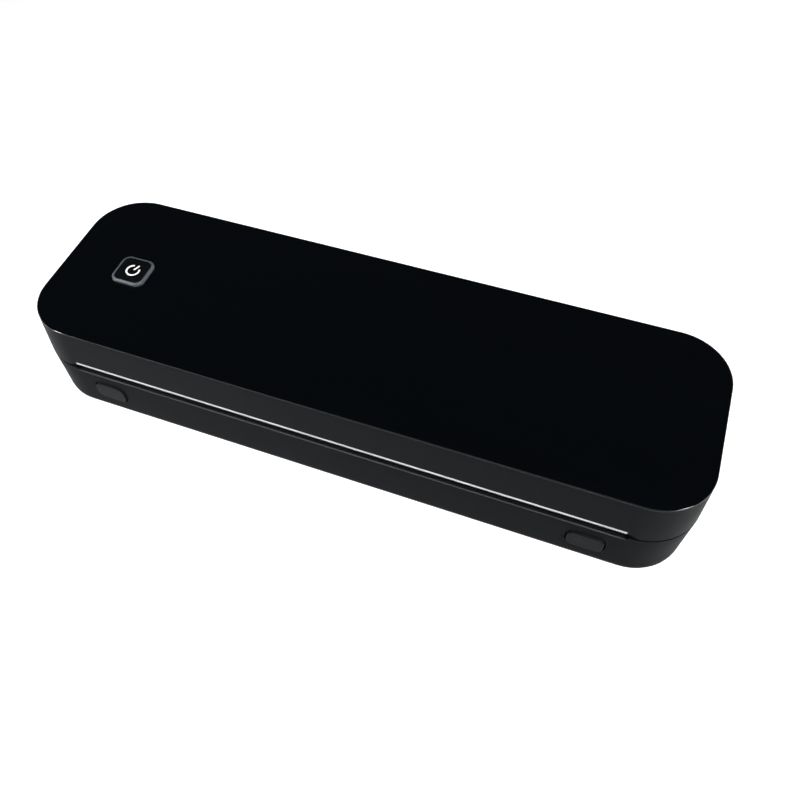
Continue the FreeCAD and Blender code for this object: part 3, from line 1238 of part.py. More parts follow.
def paper_tray():
    """The inner deck with the round roll bay and the boss tubes under it."""
    inset = BASE_WALL + draft_at(TRAY_LOW) + TRAY_FIT
    deck = plan(inset, (TRAY_LOW, TRAY_TOP))
    bay_x = (-BAY_HALF - BAY_WALL, BAY_HALF + BAY_WALL)
    bay = (BAY_Y, BAY_Z)
    tub = fuse([rod(bay_x, bay, BAY_OUTER),
                block(bay_x, (BAY_Y - BAY_OUTER, BAY_Y + BAY_OUTER), (BAY_Z, TRAY_TOP))])
    tub = tub.cut(block((-HALF_LENGTH, HALF_LENGTH), (FRONT_Y, REAR_Y), (TRAY_TOP, HEIGHT + HEIGHT)))
    bosses = [post(place, (BOSS_SPLIT, TRAY_TOP), BOSS_RADIUS) for place in base_boss_places()]
    tray = fuse([deck, tub, tray_rear()] + bosses)
    inner = (-BAY_HALF, BAY_HALF)
    sweep = TAIL_HALF + HINGE_CLEAR
    ear_play = KNUCKLE_GAP + KNUCKLE_GAP
    tools = [rod(inner, bay, BAY_RADIUS),
             block(inner, (BAY_Y - BAY_RADIUS, BAY_Y + BAY_RADIUS), (BAY_Z, HEIGHT)),
             block((-MECHANISM_HALF, MECHANISM_HALF), (FRONT_Y, PLATEN_Y + MECHANISM_REAR),
                   (TRAY_LOW - OVERRUN, TRAY_TOP + OVERRUN)),
             rod((-sweep, sweep), HINGE, HINGE_SWEEP),
             block((-HALF_LENGTH, HALF_LENGTH), (HINGE_Y, REAR_Y), (PARTING_Z - HINGE_SWEEP, PARTING_Z))]
    tools += ear_zone(ear_play, (HINGE_Y - HINGE_SWEEP, REAR_Y), (0, PARTING_Z))
    for place in base_boss_places():
        tools.append(post(place, (0, BOSS_SPLIT + SCREW_BITE + OVERRUN), SCREW_RADIUS + PIN_FIT))
    half_x = SENSOR_LENGTH / 2 + SENSOR_FIT
    half_y = SENSOR_WIDTH / 2 + SENSOR_FIT
    tools.append(block((SENSOR_X - half_x, SENSOR_X + half_x), (sensor_y() - half_y, sensor_y() + half_y),
                       (TRAY_LOW - OVERRUN, TRAY_TOP + OVERRUN)))
    return tray.cut(tools)


def sensor_y():
    return (PLATEN_Y + MECHANISM_REAR + BAY_Y - BAY_OUTER) / 2


def paper_sensor():
    top = TRAY_TOP - SENSOR_SINK
    body = block((SENSOR_X - SENSOR_LENGTH / 2, SENSOR_X + SENSOR_LENGTH / 2),
                 (sensor_y() - SENSOR_WIDTH / 2, sensor_y() + SENSOR_WIDTH / 2), (top - SENSOR_HEIGHT, top))
    eyes = []
    for side in (-1, 1):
        eyes.append(post((SENSOR_X + side * SENSOR_LENGTH / 4, sensor_y()), (top - SENSOR_FIT, top + OVERRUN),
                         SENSOR_WIDTH / 4))
    return body.cut(eyes)


def main_board():
    x = (-BOARD_HALF, BOARD_HALF)
    board = block(x, (BAY_Y - BOARD_FRONT, BAY_Y + BOARD_REAR), (BOARD_LOW, BOARD_TOP))
    return round_along(board, vec(0, 0, 1), BOARD_THICK, lambda middle: True)


# Chips on the main board: the place along X as a share of its half length, the place along Y,
# the length and the width as shares of its front part, the height as a share of the headroom
CHIP_SHARES = ((-0.62, -0.57, 0.71, 0.71, 0.8), (-0.30, -0.77, 0.44, 0.31, 1.2),
               (0.05, -0.75, 0.89, 0.36, 1.76), (0.42, -0.75, 0.53, 0.36, 1.6),
               (0.80, -0.35, 0.36, 0.53, 0.96))


def board_chips():
    chips = []
    for x, y, length, width, height in CHIP_SHARES:
        middle = (x * BOARD_HALF, BAY_Y + y * BOARD_FRONT)
        half = (length * BOARD_FRONT / 2, width * BOARD_FRONT / 2)
        chips.append(block((middle[0] - half[0], middle[0] + half[0]),
                           (middle[1] - half[1], middle[1] + half[1]),
                           (BOARD_TOP, BOARD_TOP + height * BOARD_HEADROOM)))
    return Part.makeCompound(chips)


def battery_pack():
    """Two round cells end to end in one sleeve."""
    start = BATTERY_CENTRE - CELL_LENGTH
    cells = []
    for index in range(2):
        left = start + index * CELL_LENGTH
        cell = rod((left, left + CELL_LENGTH), (BATTERY_Y, BATTERY_Z), CELL_RADIUS)
        ends = [edge for edge in cell.Edges if edge.BoundBox.XMax - edge.BoundBox.XMin < PIN_FIT]
        cells.append(cell.makeFillet(CELL_ROUND, ends))
    return fuse(cells)


def charge_board():
    rear = charge_board_y()
    return block((SOCKET_CENTRE - CHARGE_BOARD_HALF, SOCKET_CENTRE + CHARGE_BOARD_HALF),
                 (rear - CHARGE_BOARD_DEPTH, rear), (CHARGE_BOARD_Z, CHARGE_BOARD_Z + CHARGE_BOARD_THICK))


def charge_socket():
    """A flat oval metal shell with a tongue inside, open to the rear."""
    low = CHARGE_BOARD_Z + CHARGE_BOARD_THICK
    centre = (SOCKET_CENTRE, low + SOCKET_HEIGHT / 2)
    mouth = REAR_Y - draft_at(low) - SOCKET_RECESS - BASE_WALL / 4
    back = mouth - SOCKET_DEPTH
    half = SOCKET_HEIGHT / 2
    shell = upright_block(SOCKET_WIDTH / 2, half, half - PIN_FIT, centre, (back, mouth))
    inner = half - SOCKET_SHEET
    hollow = upright_block(SOCKET_WIDTH / 2 - SOCKET_SHEET, inner, inner - PIN_FIT, centre,
                           (back + SOCKET_SHEET, mouth + OVERRUN))
    tongue = block((SOCKET_CENTRE - TONGUE_WIDTH / 2, SOCKET_CENTRE + TONGUE_WIDTH / 2),
                   (back, mouth - SOCKET_RECESS),
                   (centre[1] - TONGUE_THICK / 2, centre[1] + TONGUE_THICK / 2))
    return fuse([shell.cut(hollow), tongue])


def hinge_pins():
    pin = rod((EAR_INNER, EAR_OUTER), HINGE, HINGE_PIN_RADIUS)
    return Part.makeCompound(both_ends(pin))


def build():
    latch = latch_right()
    return {
        "lid_shell": lid_shell(),
        "top_panel": top_panel(),
        "lid_liner": lid_liner(),
        "lid_screws": lid_screws(),
        "button_bezel": bezel(),
        "power_button": power_button(),
        "switch_plunger": switch_plunger(),
        "switch_board": switch_board(),
        "push_switch": push_switch(),
        "tear_bar": tear_bar(),
        "platen_rubber": platen_rubber(),
        "platen_shaft": platen_shaft(),
        "platen_bushings": platen_bushings(),
        "platen_gear": platen_gear(),
        "idler_gear": idler_gear(),
        "reduction_gear": reduction_gear(),
        "motor_pinion": motor_pinion(),
        "motor_shaft": motor_shaft(),
        "motor_body": motor_body(),
        "gear_plate": gear_plate(),
        "gear_studs": gear_studs(),
        "heat_sink": heat_sink(),
        "head_ceramic": head_ceramic(),
        "driver_cover": driver_cover(),
        "head_spring": head_spring(),
        "chassis": chassis(),
        "release_button_left": release_button(-1),
        "release_button_right": release_button(1),
        "latch_right": latch,
        "latch_left": latch.mirror(vec(0, 0, 0), vec(1, 0, 0)),
        "latch_studs": latch_studs(),
        "button_spring_left": button_spring(-1),
        "button_spring_right": button_spring(1),
        "base_shell": base_shell(),
        "rubber_feet": rubber_feet(),
        "base_screws": base_screws(),
        "paper_tray": paper_tray(),
        "paper_sensor": paper_sensor(),
        "main_board": main_board(),
        "board_chips": board_chips(),
        "battery_pack": battery_pack(),
        "charge_board": charge_board(),
        "charge_socket": charge_socket(),
        "hinge_pins": hinge_pins(),
    }


os.makedirs("parts", exist_ok=True)
for node, shape in build().items():
    shape.exportStep(os.path.join("parts", node + ".step"))
    print(node, len(shape.Solids), round(shape.Volume, 1), shape.isValid())
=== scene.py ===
import json
import math

import bmesh
import bpy
from mathutils import Matrix, Vector


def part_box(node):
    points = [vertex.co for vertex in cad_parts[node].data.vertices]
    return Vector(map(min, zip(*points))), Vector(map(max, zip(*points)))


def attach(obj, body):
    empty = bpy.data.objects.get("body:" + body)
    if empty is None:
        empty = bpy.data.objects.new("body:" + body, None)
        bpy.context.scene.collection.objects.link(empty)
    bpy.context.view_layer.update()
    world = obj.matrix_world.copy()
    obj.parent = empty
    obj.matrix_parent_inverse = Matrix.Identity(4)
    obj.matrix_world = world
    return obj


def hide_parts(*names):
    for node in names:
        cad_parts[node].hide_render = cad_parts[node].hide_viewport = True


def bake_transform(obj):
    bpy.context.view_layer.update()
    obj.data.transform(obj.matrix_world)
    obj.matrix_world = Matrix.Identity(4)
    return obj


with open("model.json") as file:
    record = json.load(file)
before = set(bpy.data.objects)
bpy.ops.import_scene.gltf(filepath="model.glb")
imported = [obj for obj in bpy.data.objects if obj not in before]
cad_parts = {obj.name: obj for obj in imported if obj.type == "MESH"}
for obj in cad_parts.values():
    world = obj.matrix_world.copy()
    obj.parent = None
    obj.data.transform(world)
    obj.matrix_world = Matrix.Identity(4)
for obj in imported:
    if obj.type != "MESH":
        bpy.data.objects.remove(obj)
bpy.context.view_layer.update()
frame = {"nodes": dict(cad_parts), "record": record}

nodes = frame["nodes"]

MM = 0.001

# Camera, from the fit to the outline in the photograph, with angles in degrees
CAMERA_PLACE = Vector((84.9, -208.8, 309.9)) * MM
CAMERA_HEADING = 25.36
CAMERA_TILT = 38.93
CAMERA_ROLL = -4.39
CAMERA_LENS = 40.48
CAMERA_SENSOR = 36.0
CAMERA_SHIFT = (0.0829, -0.0429)

# Studio: a pale floor that bends up into a low wall, and a dim ceiling
FLOOR_RADIUS = 1.6
BEND_RADIUS = 0.35
WALL_HEIGHT = 0.75
FLOOR_DROP = 0.00005
FLOOR_SIDES = 96
BEND_STEPS = 12
FLOOR_COLOUR = (0.35, 0.35, 0.35, 1.0)
FLOOR_ROUGHNESS = 0.9
FLOOR_GLOW = 0.8
GLOW_COLOUR = (1.0, 1.0, 1.0, 1.0)
CEILING_COLOUR = (0.96, 0.98, 1.0, 1.0)
CEILING_LIGHT = 0.05

# Soft boxes: place, where it aims, size, power and how many degrees the light fans out
SOFT_BOXES = {
    "front_left": ((-1.0, -0.75, 0.75), (-0.18, -0.05, 0.0), (0.35, 0.3), 1.0, 16.0),
    "right_side": ((1.0, -0.35, 0.7), (0.17, -0.04, 0.0), (0.4, 0.4), 1.5, 26.0),
    "overhead": ((0.1, -0.15, 1.25), (0.0, 0.0, 0.0), (0.9, 0.6), 2.4, 120.0),
    "rear_fill": ((0.7, 1.1, 0.5), (0.0, 0.0, 0.0), (0.5, 0.4), 1.2, 50.0),
}

# Tints, as shares of a grey's red, green and blue
NEUTRAL = (1.0, 1.0, 1.0)
COOL_BLACK = (0.86, 1.0, 1.16)
BLUE_BLACK = (0.5, 1.0, 1.6)

# Most of a noise pattern lies between these two values
PATTERN_LOW = 0.3
PATTERN_HIGH = 0.7

# A grain far longer than any piece, along which a pattern stays the same
ENDLESS = 1000

# Painted edge highlights in millimetres: low and high Z, and half of the run along X
LID_EDGE_HIGHLIGHT = (49.45, 49.92, 140)
BASE_EDGE_HIGHLIGHT = (26.95, 27.4, 112)
# How the painted highlights fade at their ends along X and across the edge
HIGHLIGHT_FADE = 4
HIGHLIGHT_CORE_SHARE = 0.6
HIGHLIGHT_REACH_SHARE = 1.2

# Screws: node, body and head thickness, then shares of the head's radius
SCREWS = (("base_screws", "base", 1.6 * MM), ("lid_screws", "lid", 1.2 * MM))
SHANK_SHARE = 0.5
PITCH_SHARE = 0.37
RECESS_WIDTH_SHARE = 0.24
RECESS_REACH_SHARE = 1.1
# The head's outer face as a share of its width, and the recess as a share of its thickness
CROWN_SHARE = 0.8
RECESS_DEPTH_SHARE = 0.55
# Thread: core, root and ridge as shares of the shank's radius
CORE_SHARE = 0.8
ROOT_SHARE = 0.82
RIDGE_SHARE = 0.18

# Legs of the chips
LEG_PITCH = 0.8 * MM
LEG_WIDTH = 0.35 * MM
LEG_THICK = 0.15 * MM
LEG_REACH = 0.8 * MM
LEG_RISE = 0.5 * MM
# A leg's shoulder, drop and foot: middle along reach and rise, then length along each
LEG_BAR_SHARES = ((0.25, 1.0, 0.5, 0.0), (0.5, 0.5, 0.0, 1.0), (0.78, 0.0, 0.56, 0.0))

# Leaf springs: merging reach
MERGE_REACH = 0.001 * MM

# Power mark printed on the dished cap, with angles in degrees
MARK_RADIUS = 2.7 * MM
MARK_STROKE = 0.7 * MM
MARK_GAP = 38.0
MARK_BAR = 3.0 * MM
MARK_BAR_START_SHARE = 0.15
MARK_THICK = 0.06 * MM
MARK_TURN = -25.0
MARK_RING_STEPS = 48
MARK_BAR_STEPS = 6
CAP_RIM = 0.5 * MM
CAP_DISH = 0.25 * MM


def rgb(grey, tint=NEUTRAL):
    """A linear colour from a display grey (0 to 255) and a tint, by the usual display curve."""
    share = grey / 255
    linear = share / 12.92 if share <= 0.04045 else ((share + 0.055) / 1.055) ** 2.4
    return tuple(linear * part for part in tint) + (1.0,)


class Finish:
    """A material's node tree around one Principled shader, with patterns in millimetres."""

    def __init__(self, name, colour, roughness, metallic=0.0, specular=0.5):
        self.material = bpy.data.materials.new(name)
        self.material.use_nodes = True
        self.tree = self.material.node_tree
        self.shader = self.tree.nodes["Principled BSDF"]
        self.shader.inputs["Base Color"].default_value = colour
        self.shader.inputs["Roughness"].default_value = roughness
        self.shader.inputs["Metallic"].default_value = metallic
        self.shader.inputs["Specular IOR Level"].default_value = specular
        self.colour = colour
        self.last_normal = None
        self.place = self.add("ShaderNodeTexCoord").outputs["Object"]

    def add(self, kind, **settings):
        made = self.tree.nodes.new(kind)
        for key, value in settings.items():
            setattr(made, key, value)
        return made

    def join(self, source, target):
        self.tree.links.new(source, target)

    def scaled(self, grain):
        """Object coordinates in millimetres, divided by a length along each axis."""
        mapping = self.add("ShaderNodeMapping")
        mapping.inputs["Scale"].default_value = [1 / (MM * size) for size in grain]
        self.join(self.place, mapping.inputs["Vector"])
        return mapping.outputs["Vector"]

    def parts_of(self, vector):
        """The X, Y and Z outputs of a vector."""
        split = self.add("ShaderNodeSeparateXYZ")
        self.join(vector, split.inputs["Vector"])
        return split.outputs

    def noise(self, grain, detail=2.0, roughness=0.5):
        """Noise whose grains have these lengths in millimetres."""
        texture = self.add("ShaderNodeTexNoise")
        texture.inputs["Scale"].default_value = 1.0
        texture.inputs["Detail"].default_value = detail
        texture.inputs["Roughness"].default_value = roughness
        self.join(self.scaled(grain), texture.inputs["Vector"])
        return texture.outputs["Fac"]

    def cells(self, grain, feature="F1"):
        """Cells of about these lengths in millimetres."""
        texture = self.add("ShaderNodeTexVoronoi", feature=feature)
        texture.inputs["Scale"].default_value = 1.0
        self.join(self.scaled(grain), texture.inputs["Vector"])
        return texture.outputs

    def spread(self, value, low, high, start=PATTERN_LOW, end=PATTERN_HIGH):
        """Map a pattern from start..end to low..high."""
        ranged = self.add("ShaderNodeMapRange")
        ranged.inputs["From Min"].default_value = start
        ranged.inputs["From Max"].default_value = end
        ranged.inputs["To Min"].default_value = low
        ranged.inputs["To Max"].default_value = high
        self.join(value, ranged.inputs["Value"])
        return ranged.outputs["Result"]

    def math(self, operation, first, second):
        """Join a pattern with another one or with a number."""
        both = self.add("ShaderNodeMath", operation=operation)
        self.join(first, both.inputs[0])
        if isinstance(second, (int, float)):
            both.inputs[1].default_value = second
        else:
            self.join(second, both.inputs[1])
        return both.outputs[0]

    def absolute(self, value):
        return self.math("ABSOLUTE", value, 0.0)

    def mixed(self, share, first, second):
        """The first colour, an output, with a share of the second, a constant, as base colour."""
        mix = self.add("ShaderNodeMix", data_type="RGBA")
        self.join(share, mix.inputs["Factor"])
        self.join(first, mix.inputs["A"])
        mix.inputs["B"].default_value = second
        self.join(mix.outputs["Result"], self.shader.inputs["Base Color"])
        return mix.outputs["Result"]

    def colour_between(self, value, first, second, start=PATTERN_LOW, end=PATTERN_HIGH):
        ramp = self.add("ShaderNodeValToRGB")
        ramp.color_ramp.elements[0].position = start
        ramp.color_ramp.elements[0].color = first
        ramp.color_ramp.elements[1].position = end
        ramp.color_ramp.elements[1].color = second
        self.join(value, ramp.inputs["Fac"])
        self.join(ramp.outputs["Color"], self.shader.inputs["Base Color"])
        return ramp.outputs["Color"]

    def vary_colour(self, value, amount):
        """Lighten and darken the colour by a share of itself."""
        darker = tuple(part * (1 - amount) for part in self.colour[:3]) + (1.0,)
        lighter = tuple(part * (1 + amount) for part in self.colour[:3]) + (1.0,)
        return self.colour_between(value, darker, lighter)

    def roughness_between(self, value, low, high, start=PATTERN_LOW, end=PATTERN_HIGH):
        self.join(self.spread(value, low, high, start, end), self.shader.inputs["Roughness"])

    def bump(self, height, depth):
        """Add relief of a depth in millimetres on top of what is there."""
        relief = self.add("ShaderNodeBump")
        relief.inputs["Strength"].default_value = 1.0
        relief.inputs["Distance"].default_value = depth * MM
        self.join(height, relief.inputs["Height"])
        if self.last_normal is not None:
            self.join(self.last_normal, relief.inputs["Normal"])
        self.last_normal = relief.outputs["Normal"]
        self.join(self.last_normal, self.shader.inputs["Normal"])

    def painted_highlight(self, plain, edge, highlight_colour):
        """Paint a highlight: blend in a paler colour in patches along an edge."""
        low, high, half_run = edge
        # Painted highlight: a paler band across the edge's height, fading at its ends
        place = self.parts_of(self.scaled((1, 1, 1)))
        off = self.absolute(self.math("ADD", place["Z"], -(low + high) / 2))
        reach = (high - low) / 2
        across = self.spread(off, 1.0, 0.0, reach * HIGHLIGHT_CORE_SHARE, reach * HIGHLIGHT_REACH_SHARE)
        along = self.spread(self.absolute(place["X"]), 1.0, 0.0, half_run - HIGHLIGHT_FADE, half_run)
        patches = self.spread(self.noise((16, 16, 3), detail=2.0), low=0.65, high=1.0)
        share = self.math("MULTIPLY", across, along)
        return self.mixed(self.math("MULTIPLY", share, patches), plain, highlight_colour)


def moulded(name, colour, roughness, grain, depth, specular=0.5, edge_highlights=()):
    """Spark-eroded moulding: a fine even grain with faint flow clouds, and painted highlights along
    edges.
    """
    finish = Finish(name, colour, roughness, specular=specular)
    clouds = finish.noise((24, 18, 14), detail=3.0)
    fine = finish.noise((grain, grain, grain), detail=2.0, roughness=0.6)
    mottled = finish.math("ADD", clouds, finish.spread(fine, low=-0.06, high=0.06))
    plain = finish.vary_colour(mottled, amount=0.10)
    # Painted highlights: a paler band along each given edge
    for edge, highlight_colour in edge_highlights:
        plain = finish.painted_highlight(plain, edge, highlight_colour)
    finish.roughness_between(clouds, low=roughness - 0.04, high=roughness + 0.04)
    finish.bump(fine, depth)
    return finish.material


def polished(name, colour, roughness, specular=0.5, scratch=0.0006):
    """Smooth lacquered plastic with faint wipe marks."""
    finish = Finish(name, colour, roughness, specular=specular)
    wipes = finish.noise((60, 9, 9), detail=4.0, roughness=0.6)
    dust = finish.noise((0.9, 0.9, 0.9), detail=1.0)
    finish.vary_colour(wipes, amount=0.14)
    wiped = finish.math("ADD", wipes, finish.spread(dust, low=-0.05, high=0.05))
    finish.roughness_between(wiped, low=roughness * 0.8, high=roughness * 1.25)
    finish.bump(wipes, scratch)
    return finish.material


def ground_metal(name, colour, roughness, along, depth=0.003, spots=0.1):
    """Metal with fine grinding lines along one axis."""
    finish = Finish(name, colour, roughness, metallic=1.0)
    lines = {"X": 0.12, "Y": 0.12, "Z": 0.12}
    lines[along] = 9.0
    grind = finish.noise(lines.values(), detail=3.0, roughness=0.7)
    patches = finish.noise((7, 7, 7), detail=2.0)
    finish.vary_colour(patches, amount=spots)
    finish.roughness_between(grind, low=roughness - 0.06, high=roughness + 0.08)
    finish.bump(grind, depth)
    return finish.material


def plated_sheet(name, colour):
    """Zinc plated sheet with its soft spangle."""
    finish = Finish(name, colour, roughness=0.36, metallic=1.0)
    spangle = finish.cells((5.5, 5.5, 5.5))
    fine = finish.noise((0.5, 0.5, 0.5), detail=3.0)
    finish.vary_colour(spangle["Color"], amount=0.12)
    finish.roughness_between(spangle["Distance"], low=0.30, high=0.44, start=0.0, end=0.8)
    finish.bump(fine, depth=0.004)
    return finish.material


def ground_rubber(name, colour, grain):
    """Rubber ground to size, with a dusty open grain."""
    finish = Finish(name, colour, roughness=0.82, specular=0.3)
    fine = finish.noise((grain, grain, grain), detail=4.0, roughness=0.7)
    rings = finish.noise((1.6, 30, 30), detail=1.0)
    mottled = finish.math("ADD", fine, finish.spread(rings, low=-0.1, high=0.1))
    finish.vary_colour(mottled, amount=0.22)
    finish.roughness_between(fine, low=0.74, high=0.9)
    finish.bump(fine, depth=0.03)
    return finish.material


def glazed_ceramic(name, heater_y):
    """The head's glazed strip: pale ceramic, gold conductor lines and a dark heater line."""
    finish = Finish(name, rgb(214, (1.0, 0.97, 0.88)), roughness=0.16)
    wave = finish.add("ShaderNodeTexWave", wave_type="BANDS", bands_direction="X", wave_profile="SIN")
    wave.inputs["Scale"].default_value = 0.9
    finish.join(finish.scaled((1, ENDLESS, ENDLESS)), wave.inputs["Vector"])
    gold = rgb(205, (1.0, 0.8, 0.42))
    glaze = rgb(222, (1.0, 0.97, 0.9))
    lines = finish.colour_between(wave.outputs["Fac"], gold, glaze, start=0.35, end=0.6)
    off = finish.math("ADD", finish.parts_of(finish.place)["Y"], -heater_y)
    heater = finish.spread(finish.absolute(off), 1.0, 0.0, start=0.35 * MM, end=0.5 * MM)
    finish.mixed(heater, lines, rgb(70, (1.0, 0.8, 0.62)))
    finish.roughness_between(finish.noise((4, 4, 4)), low=0.12, high=0.22)
    return finish.material


def circuit_board(name):
    """Green solder mask over etched tracks."""
    finish = Finish(name, rgb(72, (0.3, 1.0, 0.5)), roughness=0.3)
    tracks = finish.cells((2.6, 1.5, ENDLESS), "DISTANCE_TO_EDGE")
    tone = finish.spread(tracks["Distance"], 1.0, 0.0, start=0.05, end=0.1)
    mask = rgb(62, (0.25, 1.0, 0.5))
    track = rgb(104, (0.3, 1.0, 0.45))
    finish.colour_between(tone, mask, track, start=0.2, end=0.8)
    finish.roughness_between(finish.noise((3, 3, 3)), low=0.24, high=0.4)
    finish.bump(tone, depth=0.03)
    return finish.material


def gear_resin(name):
    """Natural acetal, slightly waxy."""
    finish = Finish(name, rgb(222, (1.0, 0.98, 0.9)), roughness=0.38)
    clouds = finish.noise((3, 3, 3), detail=3.0)
    finish.vary_colour(clouds, amount=0.05)
    finish.shader.inputs["Subsurface Weight"].default_value = 0.08
    finish.shader.inputs["Subsurface Radius"].default_value = (0.6 * MM, 0.5 * MM, 0.4 * MM)
    finish.roughness_between(clouds, low=0.32, high=0.46)
    finish.bump(finish.noise((0.4, 0.4, 0.4)), depth=0.004)
    return finish.material


def outer_plastics():
    """The finishes that the photograph shows, apart from the tear bar's."""
    # Painted highlights along the lid's top edge and the base's lip
    lid_highlights = [(LID_EDGE_HIGHLIGHT, rgb(54))]
    base_highlights = [(BASE_EDGE_HIGHLIGHT, rgb(54, (1.0, 1.0, 0.97)))]
    return {
        "lid_plastic": moulded("lid_plastic", rgb(17, COOL_BLACK), roughness=0.45,
                               grain=0.22, depth=0.010, specular=0.016, edge_highlights=lid_highlights),
        "base_plastic": moulded("base_plastic", rgb(14, COOL_BLACK), roughness=0.48,
                                grain=0.24, depth=0.012, specular=0.010, edge_highlights=base_highlights),
        "gloss_panel": polished("gloss_panel", rgb(2, BLUE_BLACK), roughness=0.09, specular=0.27),
        "button_plastic": moulded("button_plastic", rgb(15, COOL_BLACK), roughness=0.42,
                                  grain=0.18, depth=0.006, specular=0.022),
        "bezel_grey": moulded("bezel_grey", rgb(62, COOL_BLACK), roughness=0.46,
                              grain=0.15, depth=0.004, specular=0.12),
        "cap_gloss": polished("cap_gloss", rgb(5, COOL_BLACK), roughness=0.14, specular=0.25),
    }


def inner_plastics():
    """Plastic and rubber under the lid and below the base."""
    return {
        "inner_plastic": moulded("inner_plastic", rgb(44, COOL_BLACK), roughness=0.58,
                                 grain=0.35, depth=0.02, specular=0.3),
        "platen_rubber": ground_rubber("platen_rubber", rgb(50), grain=0.16),
        "foot_rubber": ground_rubber("foot_rubber", rgb(34), grain=0.3),
        "gear_plastic": gear_resin("gear_plastic"),
        "lever_plastic": moulded("lever_plastic", rgb(48, (1.03, 1.0, 0.96)), roughness=0.55,
                                 grain=0.4, depth=0.02),
        "bearing_plastic": moulded("bearing_plastic", rgb(196, (1.0, 0.96, 0.86)), roughness=0.44,
                                   grain=0.5, depth=0.008),
        "sleeve_blue": polished("sleeve_blue", rgb(92, (0.15, 0.45, 1.0)), roughness=0.3,
                                scratch=0.03),
    }


def metals():
    """Ground metals, with the axis that their lines follow, and the plated sheet."""
    return {
        "steel": ground_metal("steel", rgb(178), roughness=0.36, along="X"),
        "sheet_steel": plated_sheet("sheet_steel", rgb(84, (0.98, 1.0, 1.02))),
        "shaft_steel": ground_metal("shaft_steel", rgb(205), roughness=0.2, along="X"),
        "spring_steel": ground_metal("spring_steel", rgb(186, (1.0, 0.97, 0.9)), roughness=0.3,
                                     along="Z"),
        "screw_steel": ground_metal("screw_steel", rgb(82), roughness=0.34, along="Z", spots=0.2),
        "aluminium": ground_metal("aluminium", rgb(205, (0.99, 1.0, 1.02)), roughness=0.34,
                                  along="X", depth=0.006),
        "motor_steel": ground_metal("motor_steel", rgb(176), roughness=0.28, along="Y"),
        "brass": ground_metal("brass", rgb(222, (1.0, 0.78, 0.38)), roughness=0.24, along="X"),
        "socket_steel": ground_metal("socket_steel", rgb(200), roughness=0.16, along="Y"),
    }


def electronics(heater_y):
    """The head's strip, the boards and what sits on them."""
    return {
        "ceramic": glazed_ceramic("ceramic", heater_y),
        "epoxy": polished("epoxy", rgb(22), roughness=0.25, scratch=0.01),
        "board_green": circuit_board("board_green"),
        "chip_black": moulded("chip_black", rgb(30), roughness=0.6, grain=0.12, depth=0.01),
        "switch_plastic": moulded("switch_plastic", rgb(52), roughness=0.45, grain=0.2, depth=0.005),
    }


def dress(finishes):
    """Give every carried-over node the finish of its slot."""
    for row in frame["record"]["subparts"]:
        mesh = nodes[row["node"]].data
        mesh.materials.clear()
        mesh.materials.append(finishes[row["material_slot"]])


def placed(name, data):
    """Put an object with this name and data into the scene."""
    made = bpy.data.objects.new(name, data)
    bpy.context.scene.collection.objects.link(made)
    return made


def mesh_piece(name, build, finish, body):
    """Make a piece from a bmesh function, with its finish and the body that it rides on."""
    mesh = bpy.data.meshes.new(name)
    form = bmesh.new()
    build(form)
    bmesh.ops.recalc_face_normals(form, faces=form.faces)
    form.to_mesh(mesh)
    form.free()
    mesh.materials.append(finish)
    piece = placed(name, mesh)
    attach(piece, body)


class Recipe:
    """A geometry node tree whose sizes are named inputs."""

    def __init__(self, name):
        self.tree = bpy.data.node_groups.new(name, "GeometryNodeTree")
        self.tree.interface.new_socket("Geometry", in_out="INPUT", socket_type="NodeSocketGeometry")
        self.tree.interface.new_socket("Geometry", in_out="OUTPUT", socket_type="NodeSocketGeometry")
        self.given = self.tree.nodes.new("NodeGroupInput")
        self.result = self.tree.nodes.new("NodeGroupOutput")
        self.keys = {}

    def size(self, name):
        """A named input of the tree."""
        socket = self.tree.interface.new_socket(name, in_out="INPUT", socket_type="NodeSocketFloat")
        self.keys[name] = socket.identifier
        return self.given.outputs[name]

    def add(self, kind, values=None, **settings):
        """Add a node; each of its values is a number, a vector or another node's output."""
        made = self.tree.nodes.new(kind)
        for key, value in settings.items():
            setattr(made, key, value)
        for key, value in (values or {}).items():
            if isinstance(value, bpy.types.NodeSocket):
                self.tree.links.new(value, made.inputs[key])
            else:
                made.inputs[key].default_value = value
        return made

    def math(self, operation, first, second):
        return self.add("ShaderNodeMath", {0: first, 1: second}, operation=operation).outputs[0]

    def times(self, value, share):
        return self.math("MULTIPLY", value, share)

    def vector(self, x, y, z):
        return self.add("ShaderNodeCombineXYZ", {"X": x, "Y": y, "Z": z}).outputs["Vector"]

    def joined(self, shapes):
        both = self.tree.nodes.new("GeometryNodeJoinGeometry")
        for shape in shapes:
            self.tree.links.new(shape, both.inputs[0])
        return both.outputs[0]

    def moved(self, shape, offset):
        return self.add("GeometryNodeTransform", {"Geometry": shape, "Translation": offset}).outputs[0]

    def block(self, x, y, z):
        return self.add("GeometryNodeMeshCube", {"Size": self.vector(x, y, z)}).outputs["Mesh"]

    def cylinder(self, sizes):
        return self.add("GeometryNodeMeshCylinder", sizes).outputs["Mesh"]

    def copies(self, shape, finish, turn=None):
        """One copy of the shape on every point of the carrier, made real, with its finish."""
        values = {"Points": self.given.outputs["Geometry"], "Instance": shape}
        if turn is not None:
            values["Rotation"] = turn
        spread = self.add("GeometryNodeInstanceOnPoints", values).outputs[0]
        real = self.add("GeometryNodeRealizeInstances", {"Geometry": spread}).outputs[0]
        coloured = self.add("GeometryNodeSetMaterial", {"Geometry": real, "Material": finish}).outputs[0]
        self.tree.links.new(coloured, self.result.inputs[0])


